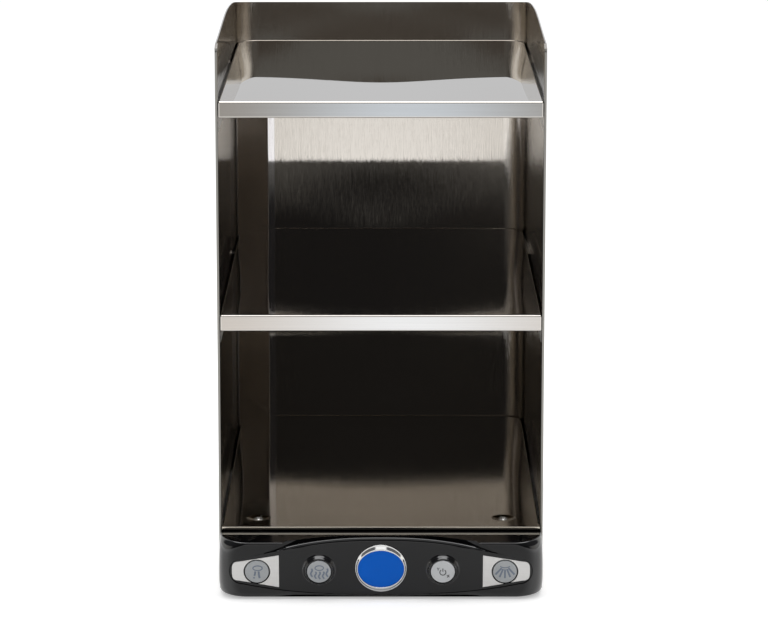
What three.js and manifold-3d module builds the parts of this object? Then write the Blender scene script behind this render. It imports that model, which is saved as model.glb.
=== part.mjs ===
import * as THREE from 'three';
import { mergeVertices } from 'three/addons/utils/BufferGeometryUtils.js';
import Module from 'manifold-3d';

// A countertop cup warmer in millimetres. +X is to the right of a person who stands in front of it,
// +Y is to the back and +Z is up. While it is built, Y is zero at the front edges of the side walls and
// Z is zero on the table. The last lines move the whole object over its own bottom centre.

const wasm = await Module();
wasm.setup();

// Cabinet
const cabinetWidth = 300;
const cabinetDepth = 445;
const wrapSheet = 1.2;
const wrapCornerRadius = 24;
const hemDepth = 12;
const guardPeak = 55.8;
const guardFrontCorner = 43;
const guardCornerRound = 8;
const guardRear = 39.5;

// Heights of the plates, each to its upper face
const footDrop = 4;
const deckHeight = 62.5;
const lowerPitch = 200.8;
const upperPitch = 197.2;

// Shelf sheet metal
const shelfSheet = 1.5;
const shelfDrop = 15.2;
const shelfLip = 9;
const edgeHem = 2.3;
const edgeHemDepth = 10;
const coverSheet = 0.8;
const fitGap = 0.3;
const railSheet = 1.2;
const railLeg = 14;
const railSetback = 16;
const railRearSetback = 62;

// Cable corner
const ductWidth = 31;
const ductDepth = 43;
const ductSheet = 1;
const ductFlange = 7;
const notchBehindCover = 3;

// Deck dimples, their screws and posts
const dimpleInset = 34.2;
const dimpleSetback = 31;
const dimpleRadius = 12.5;
const dimpleFloorRadius = 6;
const dimpleDepth = 2.5;
const deckScrewRadius = 2;
const deckScrewLength = 12;
const deckScrewHeadRadius = 4.2;
const deckScrewHeadHeight = 2.3;
const screwClearance = 0.15;
const postRadius = 6;

// Base pan
const panSheet = 1.2;
const panFrontGap = 1.5;

// Heating
const heaterThickness = 1.5;
const heaterInset = 16;
const heaterFrontInset = 52;
const heaterRearInset = 60;
const thermostatRadius = 8;
const thermostatHeight = 6;
const thermostatCapRadius = 5.5;
const thermostatCapHeight = 1.6;
const thermostatClearance = 2;
const thermostatInset = 88;
const thermostatRearInset = 195;

// Front moulding
const mouldingLift = 3;
const mouldingTopDrop = 6.1;
const mouldingWall = 2.5;
const cornerDrop = 1.6;
const cornerDropInset = 52;
const cornerDropRun = 16;

// Leaning front panel, measured in its own plane from the middle of the badge row
const faceLean = 9;
const faceReach = 29;
const faceHeight = 29;
const panelThickness = 3.8;
const panelBevelDepth = 3;
const panelTop = 28.2;
const panelArch = 32.4;
const panelBottom = 23.2;
const panelTopFall = 13.6;
const panelArchFall = 16.4;
const panelBottomRise = 12;
const panelArchInset = 41;
const panelTopInset = 37;
const panelBottomInset = 18;
const panelEndInset = 22;
const panelEndRadius = 10.5;
const panelEdge = 1.2;
const seatWall = 2.5;

// Silver end plates
const endPlateThickness = 1.2;
const endPlateInnerInset = 56;
const endPlateTop = 15.1;
const endPlateBottom = 17;
const endPlateShoulderInset = 19;
const endPlateShoulderTop = 8.8;
const endPlateShoulderBottom = 10.2;
const endPlateTipInset = 12.7;
const endPlateMiddle = 0.8;

// Push buttons
const outerButtonInset = 35.7;
const outerButtonDrop = 1.3;
const innerButtonShare = 0.38;
const innerButtonRise = 0.6;
const capRadius = 11;
const capCrown = 0.3;
const capEdge = 0.6;
const outerCapStand = 0.4;
const innerCapStand = 4.6;
const boreClearance = 0.7;
const capFlangeRadius = 12.8;
const capFlangeThickness = 1.5;
const stemRadius = 3;
const stemLength = 1.9;
const plungerRadius = 1.75;
const plungerLength = 2.2;
const buttonTravel = 1.5;
const collarRootRadius = 14.6;
const collarRimRadius = 12.7;
const collarHeight = 4.5;
const collarSleeveRadius = 13;

// Switches and board
const switchSide = 12;
const switchHeight = 4;
const switchWellRadius = 2.1;
const switchWellDepth = 3.2;
const boardEndInset = 24;
const boardHalfHeight = 11;
const boardThickness = 1.6;
const solderGap = 0.2;
const boardPegRadius = 1.2;
const boardPostRadius = 3;
const boardPegLength = 3;
const boardPegInset = 64;
const boardPegMiddleShare = 0.2;
const boardPegRise = 7;
const connectorLength = 22;
const connectorHeight = 8;
const connectorDepth = 6.5;

// Badge
const badgeRadius = 23.6;
const badgeRise = 2.4;
const badgeRingWidth = 2.1;
const badgeStand = 2.6;
const badgeRecess = 1.2;
const badgeDome = 1.7;
const badgeDiscStand = 0.6;

// Moulding screws and their bosses
const bossRadius = 4;
const bossInset = 13;
const bossLow = 12;
const bossBelowDeck = 24.5;
const mouldingScrewRadius = 1.6;
const mouldingScrewLength = 12;
const mouldingScrewHeadRadius = 3.2;
const mouldingScrewHeadHeight = 2;

// Power unit, terminals and inlet
const powerLength = 92;
const powerWidth = 54;
const powerHeight = 30;
const powerSideInset = 88;
const powerRearInset = 145;
const powerRib = 2;
const terminalLength = 48;
const terminalWidth = 20;
const terminalHeight = 16;
const terminalSideInset = 80;
const terminalRearInset = 73;
const terminalBay = 6;
const terminalBayDepth = 5;
const inletSideInset = 58;
const inletZ = 26;
const inletWidth = 27;
const inletHeight = 19.8;
const inletDepth = 21;
const inletFlangeWidth = 31;
const inletFlangeHeight = 24;
const inletFlangeThickness = 2.4;
const inletCavityWidth = 22;
const inletCavityHeight = 15;
const inletCavityDepth = 16;
const inletPinWidth = 2;
const inletPinLength = 13;
const inletPinPitch = 7;
const inletClearance = 0.5;
const trayConnectorSide = 11;
const trayConnectorHeight = 8;

// Wiring
const loomRadius = 3.5;
const leadRadius = 2.5;
const wireGap = 0.3;
const leadHoleClearance = 1.2;
const loomSteps = 34;
const leadSteps = 26;

// Where the control lead passes the pan's front wall
const leadHoleShare = 0.27;
const leadHoleZ = 30;

// Rubber feet
const footSideInset = 32;
const footFrontY = 52;
const footRearInset = 47;
const footRadius = 14;
const footTopRadius = 12;
const footStemRadius = 4;
const footBarbRadius = 5.5;
const footBarbHeight = 3;
const footClearance = 0.3;

// Cutters run this far past what they cut
const overrun = 6;

// Facets of round work
const fineSegments = 28;
const roundSegments = 20;
const smallSegments = 12;
const wireSides = 6;

// Places that follow
const halfWidth = cabinetWidth / 2;
const innerHalf = halfWidth - wrapSheet * 2 - fitGap;
const backInside = cabinetDepth - wrapSheet;
const plateRear = backInside - fitGap;
const shelfHeight = deckHeight + lowerPitch;
const trayHeight = shelfHeight + upperPitch;
const cornerInside = wrapCornerRadius - wrapSheet - fitGap;
const panTop = deckHeight - shelfDrop;
const ledgeHeight = deckHeight - mouldingTopDrop;
const lean = THREE.MathUtils.degToRad(faceLean);
const dimpleX = halfWidth - dimpleInset;
const thermostatX = thermostatInset - halfWidth;
const thermostatY = cabinetDepth - thermostatRearInset;
const powerX = halfWidth - powerSideInset;
const powerY = cabinetDepth - powerRearInset;
const terminalX = terminalSideInset - halfWidth;
const terminalY = cabinetDepth - terminalRearInset;
const inletX = halfWidth - inletSideInset;
const footX = halfWidth - footSideInset;
const footRearY = cabinetDepth - footRearInset;
const bossX = halfWidth - bossInset;
const bossHigh = deckHeight - bossBelowDeck;
const panelArchReach = halfWidth - panelArchInset;
const panelTopReach = halfWidth - panelTopInset;
const panelBottomReach = halfWidth - panelBottomInset;
const panelEndCentre = halfWidth - panelEndInset;
const endPlateInner = halfWidth - endPlateInnerInset;
const endPlateShoulder = halfWidth - endPlateShoulderInset;
const endPlateTip = halfWidth - endPlateTipInset;
const outerButtonX = halfWidth - outerButtonInset;
const innerButtonX = halfWidth * innerButtonShare;
const boardHalfLength = halfWidth - boardEndInset;
const boardPegX = halfWidth - boardPegInset;
const boardPegMiddleX = halfWidth * boardPegMiddleShare;
const leadHoleX = halfWidth * leadHoleShare;

// Finishes
const steel = new THREE.MeshStandardMaterial({ color: 0xa9a49c, roughness: 0.28, metalness: 1 });
const innerSteel = new THREE.MeshStandardMaterial({ color: 0x9b9b98, roughness: 0.4, metalness: 1 });
const blackGloss = new THREE.MeshStandardMaterial({ color: 0x141416, roughness: 0.08, metalness: 0 });
const silverPlate = new THREE.MeshStandardMaterial({ color: 0xcdccc9, roughness: 0.3, metalness: 0.8 });
const greyCap = new THREE.MeshStandardMaterial({ color: 0x9a9ca0, roughness: 0.35, metalness: 0.4 });
const chrome = new THREE.MeshStandardMaterial({ color: 0xe4e6e8, roughness: 0.05, metalness: 1 });
const blueLens = new THREE.MeshStandardMaterial({ color: 0x0055b9, roughness: 0.15, metalness: 0.1 });
const orangeMat = new THREE.MeshStandardMaterial({ color: 0xb5522b, roughness: 0.7, metalness: 0 });
const felt = new THREE.MeshStandardMaterial({ color: 0xd8d4c4, roughness: 0.95, metalness: 0 });
const ceramic = new THREE.MeshStandardMaterial({ color: 0x3a3a3a, roughness: 0.5, metalness: 0 });
const boardGreen = new THREE.MeshStandardMaterial({ color: 0x1f6b3a, roughness: 0.5, metalness: 0 });
const rubber = new THREE.MeshStandardMaterial({ color: 0x1b1b1b, roughness: 0.9, metalness: 0 });

const cabinet = new THREE.Group();
const face = new THREE.Group();
face.rotation.x = Math.PI / 2 + lean;
face.position.set(0, -faceReach, faceHeight);
face.updateMatrix();
cabinet.add(face);

function add(parent, name, material, shape) {
  const mesh = new THREE.Mesh(shape.isBufferGeometry ? shape : toGeometry(shape), material);
  mesh.name = name;
  parent.add(mesh);
  return mesh;
}

// A closed mesh with its repeated corners merged, its empty triangles dropped and its faces out
function closed(geometry) {
  const bare = geometry.clone();
  bare.deleteAttribute('normal');
  bare.deleteAttribute('uv');
  const merged = mergeVertices(bare, fitGap / 1000);
  const index = merged.index.array;
  const at = (i) => new THREE.Vector3().fromBufferAttribute(merged.attributes.position, i);
  const kept = [];
  let volume = 0;
  for (let i = 0; i < index.length; i += 3) {
    const [a, b, c] = [index[i], index[i + 1], index[i + 2]];
    if (a === b || b === c || c === a) continue;
    kept.push(a, b, c);
    volume += at(a).dot(at(b).cross(at(c)));
  }
  merged.setIndex(volume < 0 ? kept.reverse() : kept);
  return merged;
}

function toSolid(geometry) {
  const merged = closed(geometry);
  const vertProperties = Float32Array.from(merged.attributes.position.array);
  const triVerts = Uint32Array.from(merged.index.array);
  return new wasm.Manifold(new wasm.Mesh({ numProp: 3, vertProperties, triVerts }));
}

function toGeometry(solid) {
  const { vertProperties, triVerts } = solid.getMesh();
  const geometry = new THREE.BufferGeometry();
  geometry.setAttribute('position', new THREE.BufferAttribute(vertProperties, 3));
  geometry.setIndex(new THREE.BufferAttribute(triVerts, 1));
  geometry.computeVertexNormals();
  return geometry;
}

const joined = (...solids) => solids.reduce((whole, piece) => whole.add(piece));

function block(x0, x1, y0, y1, z0, z1) {
  const box = new THREE.BoxGeometry(x1 - x0, y1 - y0, z1 - z0);
  return toSolid(box.translate((x0 + x1) / 2, (y0 + y1) / 2, (z0 + z1) / 2));
}

// A flat outline raised from z0 to z1
function prism(shape, z0, z1, curveSegments = 8) {
  const raised = new THREE.ExtrudeGeometry(shape, { depth: z1 - z0, bevelEnabled: false, curveSegments });
  return toSolid(raised.translate(0, 0, z0));
}

// A turned solid about the Z axis, from pairs of radius and height
function turned(profile, segments = roundSegments) {
  const points = profile.map(([radius, height]) => new THREE.Vector2(radius, height));
  return toSolid(new THREE.LatheGeometry(points, segments).rotateX(Math.PI / 2));
}

function rod(radius, z0, z1, segments = roundSegments) {
  return turned([[0, z0], [radius, z0], [radius, z1], [0, z1]], segments);
}

// A skin over rings of equal point counts, closed by a flat cap at each end. The two named axes are
// those in which a cap is flat.
function skinned(rings, axisA, axisB) {
  const count = rings[0].length;
  const positions = rings.flat().flatMap((point) => point.toArray());
  const index = [];
  for (let ring = 0; ring + 1 < rings.length; ring += 1) {
    for (let i = 0; i < count; i += 1) {
      const here = ring * count + i;
      const next = ring * count + (i + 1) % count;
      index.push(here, next, here + count, next, next + count, here + count);
    }
  }
  for (const ring of [0, rings.length - 1]) {
    const flat = rings[ring].map((point) => new THREE.Vector2(point[axisA], point[axisB]));
    for (const triangle of THREE.ShapeUtils.triangulateShape(flat, [])) {
      const corners = triangle.map((i) => ring * count + i);
      index.push(...(ring === 0 ? corners.reverse() : corners));
    }
  }
  const geometry = new THREE.BufferGeometry();
  geometry.setAttribute('position', new THREE.Float32BufferAttribute(positions, 3));
  geometry.setIndex(index);
  return toSolid(geometry);
}

// Sheet metal plans

// The outline of a plate inside the cabinet, drawn in by an inset. Its rear right corner is round. Its
// rear left corner is round too, or cut off behind the cable cover.
function plateOutline(inset, notched, front = 0) {
  const side = innerHalf - inset;
  const rear = plateRear - inset;
  const radius = Math.max(cornerInside - inset, fitGap);
  const shape = new THREE.Shape();
  shape.moveTo(-side, front + inset);
  shape.lineTo(side, front + inset);
  shape.lineTo(side, rear - radius);
  shape.absarc(side - radius, rear - radius, radius, 0, Math.PI / 2, false);
  if (notched) {
    const legX = ductWidth - notchBehindCover;
    const legY = ductDepth - notchBehindCover;
    const slope = Math.hypot(1 / legX, 1 / legY);
    shape.lineTo(-innerHalf + legX * (inset * slope + 1 - inset / legY), rear);
    shape.lineTo(-side, plateRear - legY - legY * inset * slope + inset * legY / legX);
  } else {
    shape.absarc(-side + radius, rear - radius, radius, Math.PI / 2, Math.PI, false);
  }
  shape.closePath();
  return shape;
}

// The lips that turn in under a folded plate, at its front and at its rear
function returnLips(bottom, notched) {
  const band = prism(plateOutline(0, notched), bottom, bottom + shelfSheet);
  const open = block(-halfWidth, halfWidth, shelfLip, plateRear - shelfLip,
    bottom - overrun, bottom + shelfSheet + overrun);
  return band.subtract(open);
}

// A plate with its edges folded down all round
function foldedPlate(top, notched) {
  const bottom = top - shelfDrop;
  const outer = prism(plateOutline(0, notched), bottom, top);
  const hollow = prism(plateOutline(shelfSheet, notched), bottom - overrun, top - shelfSheet);
  return outer.subtract(hollow);
}

// Cabinet wrap

function wrapPlan() {
  const plan = new THREE.Shape();
  const outerTurn = cabinetDepth - wrapCornerRadius;
  const innerRadius = wrapCornerRadius - wrapSheet;
  const inner = halfWidth - wrapSheet;
  const hem = inner - wrapSheet;
  plan.moveTo(halfWidth, 0);
  plan.lineTo(halfWidth, outerTurn);
  plan.absarc(halfWidth - wrapCornerRadius, outerTurn, wrapCornerRadius, 0, Math.PI / 2, false);
  plan.absarc(wrapCornerRadius - halfWidth, outerTurn, wrapCornerRadius, Math.PI / 2, Math.PI, false);
  plan.lineTo(-halfWidth, 0);
  plan.lineTo(-hem, 0);
  plan.lineTo(-hem, hemDepth);
  plan.lineTo(-inner, hemDepth);
  plan.absarc(innerRadius - inner, outerTurn, innerRadius, Math.PI, Math.PI / 2, true);
  plan.absarc(inner - innerRadius, outerTurn, innerRadius, Math.PI / 2, 0, true);
  plan.lineTo(inner, hemDepth);
  plan.lineTo(hem, hemDepth);
  plan.lineTo(hem, 0);
  plan.closePath();
  return plan;
}

// The side view of the wrap: a rounded front corner, a long low crown and a lower guard at the back
const crownDepthShares = [0.16, 0.45, 0.64, 0.82];
const crownHeightShares = [0.937, 1, 0.964, 0.86];

function wrapSideView() {
  const corner = trayHeight + guardFrontCorner;
  const view = new THREE.Shape();
  view.moveTo(0, footDrop);
  view.lineTo(0, corner);
  view.quadraticCurveTo(0, corner + guardCornerRound, guardCornerRound, corner + guardCornerRound);
  view.splineThru(crownDepthShares.map((share, i) => new THREE.Vector2(
    cabinetDepth * share,
    trayHeight + guardPeak * crownHeightShares[i],
  )).concat(new THREE.Vector2(cabinetDepth, trayHeight + guardRear)));
  view.lineTo(cabinetDepth, footDrop);
  view.closePath();
  return view;
}

const inletOpening = block(
  inletX - inletWidth / 2 - inletClearance, inletX + inletWidth / 2 + inletClearance,
  plateRear - shelfLip, cabinetDepth + overrun,
  inletZ - inletHeight / 2 - inletClearance, inletZ + inletHeight / 2 + inletClearance,
);

function buildWrap() {
  const sheet = prism(wrapPlan(), footDrop, trayHeight + guardPeak + overrun);
  const sideView = new THREE.ExtrudeGeometry(wrapSideView(), {
    depth: cabinetWidth + overrun * 2, bevelEnabled: false, curveSegments: 6,
  });
  const upright = new THREE.Matrix4().makeBasis(
    new THREE.Vector3(0, 1, 0), new THREE.Vector3(0, 0, 1), new THREE.Vector3(1, 0, 0),
  );
  const profile = toSolid(sideView.applyMatrix4(upright).translate(-halfWidth - overrun, 0, 0));
  return sheet.intersect(profile).subtract(inletOpening);
}

add(cabinet, 'cabinet_wrap', steel, buildWrap());

// Plates

function thermostatHole(z0, z1, clearance) {
  return rod(thermostatRadius + clearance, z0, z1).translate([thermostatX, thermostatY, 0]);
}

function buildShelf(top, notched) {
  return foldedPlate(top, notched).add(returnLips(top - shelfDrop, notched));
}

add(cabinet, 'top_tray', steel, buildShelf(trayHeight, false));
add(cabinet, 'middle_shelf', steel, buildShelf(shelfHeight, true));

// A drawn dimple: a shallow cone with a flat floor and a screw hole
function dimple(x) {
  const rim = deckHeight - shelfSheet;
  const wall = turned([
    [deckScrewRadius + screwClearance, deckHeight - dimpleDepth],
    [dimpleFloorRadius, deckHeight - dimpleDepth],
    [dimpleRadius, deckHeight],
    [dimpleRadius + shelfSheet, deckHeight],
    [dimpleRadius + shelfSheet, rim],
    [dimpleFloorRadius + shelfSheet / 2, rim - dimpleDepth],
    [deckScrewRadius + screwClearance, rim - dimpleDepth],
    [deckScrewRadius + screwClearance, deckHeight - dimpleDepth],
  ], fineSegments);
  return wall.translate([x, dimpleSetback, 0]);
}

const dimplePlaces = [-dimpleX, dimpleX];

function buildDeck() {
  const bottom = deckHeight - shelfDrop;
  const hemmedEdge = block(-innerHalf, innerHalf, 0, edgeHemDepth, deckHeight - edgeHem, deckHeight);
  const frontAway = block(-halfWidth, halfWidth, -overrun, hemDepth,
    bottom - overrun, deckHeight - edgeHem);
  let deck = foldedPlate(deckHeight, true).subtract(frontAway).add(hemmedEdge);
  for (const x of dimplePlaces) {
    const opening = rod(dimpleRadius + shelfSheet / 2, bottom, deckHeight + overrun, fineSegments);
    deck = deck.subtract(opening.translate([x, dimpleSetback, 0])).add(dimple(x));
  }
  return deck;
}

add(cabinet, 'lower_deck', steel, buildDeck());

// Closing covers, which lie on the return lips
for (const [name, top] of [['tray_cover', trayHeight], ['shelf_cover', shelfHeight]]) {
  const seat = top - shelfDrop + shelfSheet;
  const outline = plateOutline(shelfSheet + fitGap, true);
  add(cabinet, name, innerSteel, prism(outline, seat, seat + coverSheet));
}

// Support rails, angles on the side walls under the folded edges of the tray and the shelf
for (const [level, top] of [['tray', trayHeight], ['shelf', shelfHeight]]) {
  for (const [side, sign] of [['left', -1], ['right', 1]]) {
    const seat = top - shelfDrop;
    const wall = sign * (halfWidth - wrapSheet);
    const toe = wall - sign * railLeg;
    const web = wall - sign * railSheet;
    const rear = cabinetDepth - railRearSetback;
    const ledge = block(Math.min(wall, toe), Math.max(wall, toe), railSetback, rear, seat - railSheet, seat);
    const leg = block(Math.min(wall, web), Math.max(wall, web), railSetback, rear, seat - railLeg, seat);
    add(cabinet, `${level}_rail_${side}`, innerSteel, joined(ledge, leg));
  }
}

// Cable covers, one in each compartment across the rear left corner
function cableCover(z0, z1) {
  const wall = fitGap - halfWidth + wrapSheet;
  const back = backInside - fitGap;
  const startY = backInside - ductDepth;
  const endX = ductWidth - halfWidth + wrapSheet;
  const run = new THREE.Vector2(ductWidth, ductDepth).normalize().multiplyScalar(ductSheet);
  const shape = new THREE.Shape([
    new THREE.Vector2(wall, startY - ductFlange),
    new THREE.Vector2(wall + ductSheet, startY - ductFlange),
    new THREE.Vector2(wall + ductSheet, startY),
    new THREE.Vector2(endX, back - ductSheet),
    new THREE.Vector2(endX + ductFlange, back - ductSheet),
    new THREE.Vector2(endX + ductFlange, back),
    new THREE.Vector2(endX - run.y, back),
    new THREE.Vector2(wall, startY + run.x),
  ]);
  return prism(shape, z0, z1);
}

add(cabinet, 'upper_cable_cover', steel, cableCover(shelfHeight, trayHeight - shelfDrop));
add(cabinet, 'lower_cable_cover', steel, cableCover(deckHeight, shelfHeight - shelfDrop));

// Heating

function heaterOutline(rearInset) {
  const side = innerHalf - heaterInset;
  const rear = plateRear - rearInset;
  return new THREE.Shape([
    new THREE.Vector2(-side, heaterFrontInset),
    new THREE.Vector2(side, heaterFrontInset),
    new THREE.Vector2(side, rear),
    new THREE.Vector2(-side, rear),
  ]);
}

function thermostat(top) {
  const body = top - thermostatHeight;
  return turned([
    [0, body - thermostatCapHeight],
    [thermostatCapRadius, body - thermostatCapHeight],
    [thermostatCapRadius, body],
    [thermostatRadius, body],
    [thermostatRadius, top],
    [0, top],
  ]).translate([thermostatX, thermostatY, 0]);
}

for (const [name, top] of [['tray', trayHeight], ['shelf', shelfHeight], ['deck', deckHeight]]) {
  const plateUnder = top - shelfSheet;
  const matUnder = plateUnder - heaterThickness;
  const mat = prism(heaterOutline(heaterRearInset), matUnder, plateUnder);
  const matHole = thermostatHole(matUnder - overrun, top, thermostatClearance / 2);
  add(cabinet, `${name}_heater`, orangeMat, mat.subtract(matHole));
  add(cabinet, `${name}_thermostat`, ceramic, thermostat(plateUnder));
  if (name === 'deck') continue;
  const coverTop = top - shelfDrop + shelfSheet + coverSheet;
  const pad = prism(heaterOutline(heaterRearInset), coverTop, matUnder);
  const padHole = thermostatHole(coverTop - overrun, top, thermostatClearance);
  add(cabinet, `${name}_insulation`, felt, pad.subtract(padHole));
}

// Base pan with turned-in top lips, on which the deck's folded edges rest
const panFloor = footDrop + panSheet;
const footPlaces = [
  ['foot_front_left', -footX, footFrontY],
  ['foot_front_right', footX, footFrontY],
  ['foot_rear_left', -footX, footRearY],
  ['foot_rear_right', footX, footRearY],
];
const bossPlaces = [[-bossX, bossLow], [bossX, bossLow], [-bossX, bossHigh], [bossX, bossHigh]];

function alongY(solid, x, z) {
  return solid.rotate([-90, 0, 0]).translate([x, 0, z]);
}

function buildPan() {
  const shell = prism(plateOutline(0, false, panFrontGap), footDrop, panTop);
  const hollow = prism(plateOutline(panSheet, false, panFrontGap), panFloor, panTop - panSheet);
  const mouth = prism(plateOutline(shelfLip, false, panFrontGap), panFloor, panTop + overrun);
  const loomCorner = block(-halfWidth, ductWidth - halfWidth, backInside - ductDepth, cabinetDepth,
    panFloor, panTop + overrun);
  const loomWay = prism(plateOutline(panSheet, false, panFrontGap), panFloor, panTop + overrun);
  let pan = shell.subtract(hollow).subtract(mouth).subtract(loomWay.intersect(loomCorner));
  pan = pan.subtract(inletOpening);
  for (const [, x, y] of footPlaces) {
    const hole = rod(footStemRadius + footClearance, -overrun, panFloor + overrun);
    pan = pan.subtract(hole.translate([x, y, 0]));
  }
  for (const [x, z] of bossPlaces) {
    const hole = rod(mouldingScrewRadius + screwClearance, -overrun, shelfLip, smallSegments);
    pan = pan.subtract(alongY(hole, x, z));
  }
  const leadHole = rod(leadRadius + leadHoleClearance, -overrun, shelfLip + overrun, smallSegments);
  return pan.subtract(alongY(leadHole, leadHoleX, leadHoleZ));
}

add(cabinet, 'base_pan', innerSteel, buildPan());

// Deck screws in their posts
for (const [side, x] of [['left', dimplePlaces[0]], ['right', dimplePlaces[1]]]) {
  const seat = deckHeight - dimpleDepth;
  const postTop = seat - shelfSheet;
  const screw = turned([
    [0, seat - deckScrewLength],
    [deckScrewRadius, seat - deckScrewLength],
    [deckScrewRadius, seat],
    [deckScrewHeadRadius, seat],
    [deckScrewHeadRadius * 0.94, seat + deckScrewHeadHeight * 0.5],
    [deckScrewHeadRadius * 0.64, seat + deckScrewHeadHeight * 0.88],
    [0, seat + deckScrewHeadHeight],
  ]);
  const boreRadius = deckScrewRadius + screwClearance;
  const boreEnd = seat - deckScrewLength - screwClearance;
  const post = rod(postRadius, panFloor, postTop).subtract(rod(boreRadius, boreEnd, postTop + overrun));
  add(cabinet, `deck_screw_${side}`, chrome, screw.translate([x, dimpleSetback, 0]));
  add(cabinet, `deck_post_${side}`, innerSteel, post.translate([x, dimpleSetback, 0]));
}

// Front moulding

// One level of the moulding's plan: straight ends, round corners and a straight front. The lowest level
// drops a little towards its two ends.
function mouldingRing(z, half, reach, radius, drop = 0) {
  const arcSteps = 6;
  const points = [new THREE.Vector3(-half, 0, z)];
  for (let step = 0; step <= arcSteps; step += 1) {
    const turn = Math.PI + (step / arcSteps) * (Math.PI / 2);
    const x = radius - half + radius * Math.cos(turn);
    points.push(new THREE.Vector3(x, radius - reach + radius * Math.sin(turn), z));
  }
  for (const share of drop ? [0, 1 / 3, 2 / 3, 1] : []) {
    const x = cornerDropInset - halfWidth + cornerDropRun * share;
    points.push(new THREE.Vector3(x, -reach, z));
  }
  for (const point of points) {
    const way = THREE.MathUtils.smoothstep(
      -point.x, halfWidth - cornerDropInset - cornerDropRun, halfWidth - cornerDropInset,
    );
    point.z -= drop * way;
  }
  const mirrored = points.map((point) => new THREE.Vector3(-point.x, point.y, point.z)).reverse();
  return points.concat(mirrored);
}

// Levels of the moulding from its bottom edge to its ledge: share of the height, how far the ends draw
// in, how far the front reaches and the radius of its corners
const mouldingLevelShares = [0, 0.056, 0.225, 0.487, 0.73, 0.88, 0.965, 1];
const mouldingEndInsets = [2.5, 0.2, 0, 0.2, 0.6, 1, 1.5, 2.6];
const mouldingReaches = [24.6, 27.2, 28.8, 30.8, 32.2, 33, 33, 31.4];
const mouldingCornerRadii = [23, 21, 18, 16, 17, 21, 26, 28];
const mouldingDropShares = [1, 0.9, 0.5, 0.1, 0.02, 0.01, 0.01, 0.01];

function mouldingBody() {
  const height = ledgeHeight - mouldingLift;
  return skinned(mouldingLevelShares.map((share, i) => mouldingRing(
    mouldingLift + height * share,
    halfWidth - mouldingEndInsets[i],
    mouldingReaches[i],
    mouldingCornerRadii[i],
    cornerDrop * mouldingDropShares[i],
  )), 'x', 'y');
}

// How far forward the leaning face is at a height, and a depth behind it
const faceAt = (z, depth) => faceReach + (z - faceHeight) * Math.tan(lean) - depth / Math.cos(lean);

const seatDepth = panelThickness + fitGap;
const ledgeReachMiddle = 14;
const ledgeReachGain = 20.8;
const ledgeReachSpan = outerButtonX;
const ledgeAt = (x) => ledgeReachMiddle + ledgeReachGain * (Math.abs(x) / ledgeReachSpan) ** 2.4;

// The space behind the moulding's front wall, open at the bottom and the back
const cavityShoulder = 44.5;
const cavityCorner = 12;
const cavityBack = 1;

function mouldingCavity() {
  const half = halfWidth - mouldingWall - mouldingEndInsets[7];
  const low = mouldingLift - overrun;
  const roof = ledgeHeight - mouldingWall;
  const upperReach = ledgeReachMiddle - mouldingWall;
  const ring = (z, reach) => mouldingRing(z, half, reach, Math.min(cavityCorner, reach))
    .map((point) => (point.y === 0 ? point.setY(cavityBack) : point));
  const lower = skinned([
    ring(low, faceAt(low, seatDepth + seatWall)),
    ring(cavityShoulder, faceAt(cavityShoulder, seatDepth + seatWall)),
  ], 'x', 'y');
  const upper = skinned([ring(cavityShoulder - fitGap, upperReach), ring(roof, upperReach)], 'x', 'y');
  return lower.add(upper);
}

// The two crescents over the arch: what lies in front of the ledge's curved edge, above the panel
const scoopSteps = 20;
const scoopRiseShare = 0.6;

function mouldingScoop() {
  const front = faceReach + overrun * 2;
  const archHeight = (x) => faceHeight + archAt(x) * Math.cos(lean);
  const rings = [];
  for (let step = 0; step <= scoopSteps; step += 1) {
    const x = panelArchReach * (2 * step / scoopSteps - 1);
    const tip = archHeight(panelArchReach);
    const floor = Math.max(archHeight(x) - overrun * 1.4, tip - overrun / 3);
    const top = Math.min(tip + (panelArchReach - Math.abs(x)) * scoopRiseShare, ledgeHeight + overrun);
    const back = Math.min(ledgeAt(x), front - overrun);
    rings.push([
      new THREE.Vector3(x, -front, floor),
      new THREE.Vector3(x, -back, floor),
      new THREE.Vector3(x, -back, top),
      new THREE.Vector3(x, -front, top),
    ]);
  }
  return skinned(rings, 'y', 'z');
}

// Control panel, drawn in the plane of the leaning face

const faceTopAt = (u) => panelTop - panelTopFall * (Math.abs(u) / panelTopReach) ** 1.9;
const archAt = (u) => panelArch - panelArchFall * (Math.abs(u) / panelArchReach) ** 2.4;
const faceBottomAt = (u) => panelBottomRise * (Math.abs(u) / panelBottomReach) ** 2.6 - panelBottom;

// The panel's outline, from its flat face at zero spread to its beveled foot at full spread
function panelRing(z, spread, grow = 0) {
  const alongSteps = 20;
  const endSteps = 6;
  const topAt = (u) => {
    const flat = faceTopAt(u);
    return flat + spread * (Math.max(archAt(u), flat + panelEdge) - flat) + grow;
  };
  const bottomAt = (u) => faceBottomAt(u) - spread * panelEdge - grow;
  const points = [];
  const endArc = (sign, from) => {
    const top = topAt(panelEndCentre);
    const bottom = bottomAt(panelEndCentre);
    for (let step = 1; step < endSteps; step += 1) {
      const turn = Math.PI * (step / endSteps) - Math.PI / 2;
      const rise = Math.sin(turn) * (from === 'bottom' ? 1 : -1);
      const out = panelEndCentre + (panelEndRadius + spread * panelEdge + grow) * Math.cos(turn);
      points.push(new THREE.Vector3(sign * out, (top + bottom) / 2 + rise * (top - bottom) / 2, z));
    }
  };
  for (let step = 0; step <= alongSteps; step += 1) {
    const u = panelEndCentre * (2 * step / alongSteps - 1);
    points.push(new THREE.Vector3(u, bottomAt(u), z));
  }
  endArc(1, 'bottom');
  for (let step = alongSteps; step >= 0; step -= 1) {
    const u = panelEndCentre * (2 * step / alongSteps - 1);
    points.push(new THREE.Vector3(u, topAt(u), z));
  }
  endArc(-1, 'top');
  return points;
}

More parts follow.
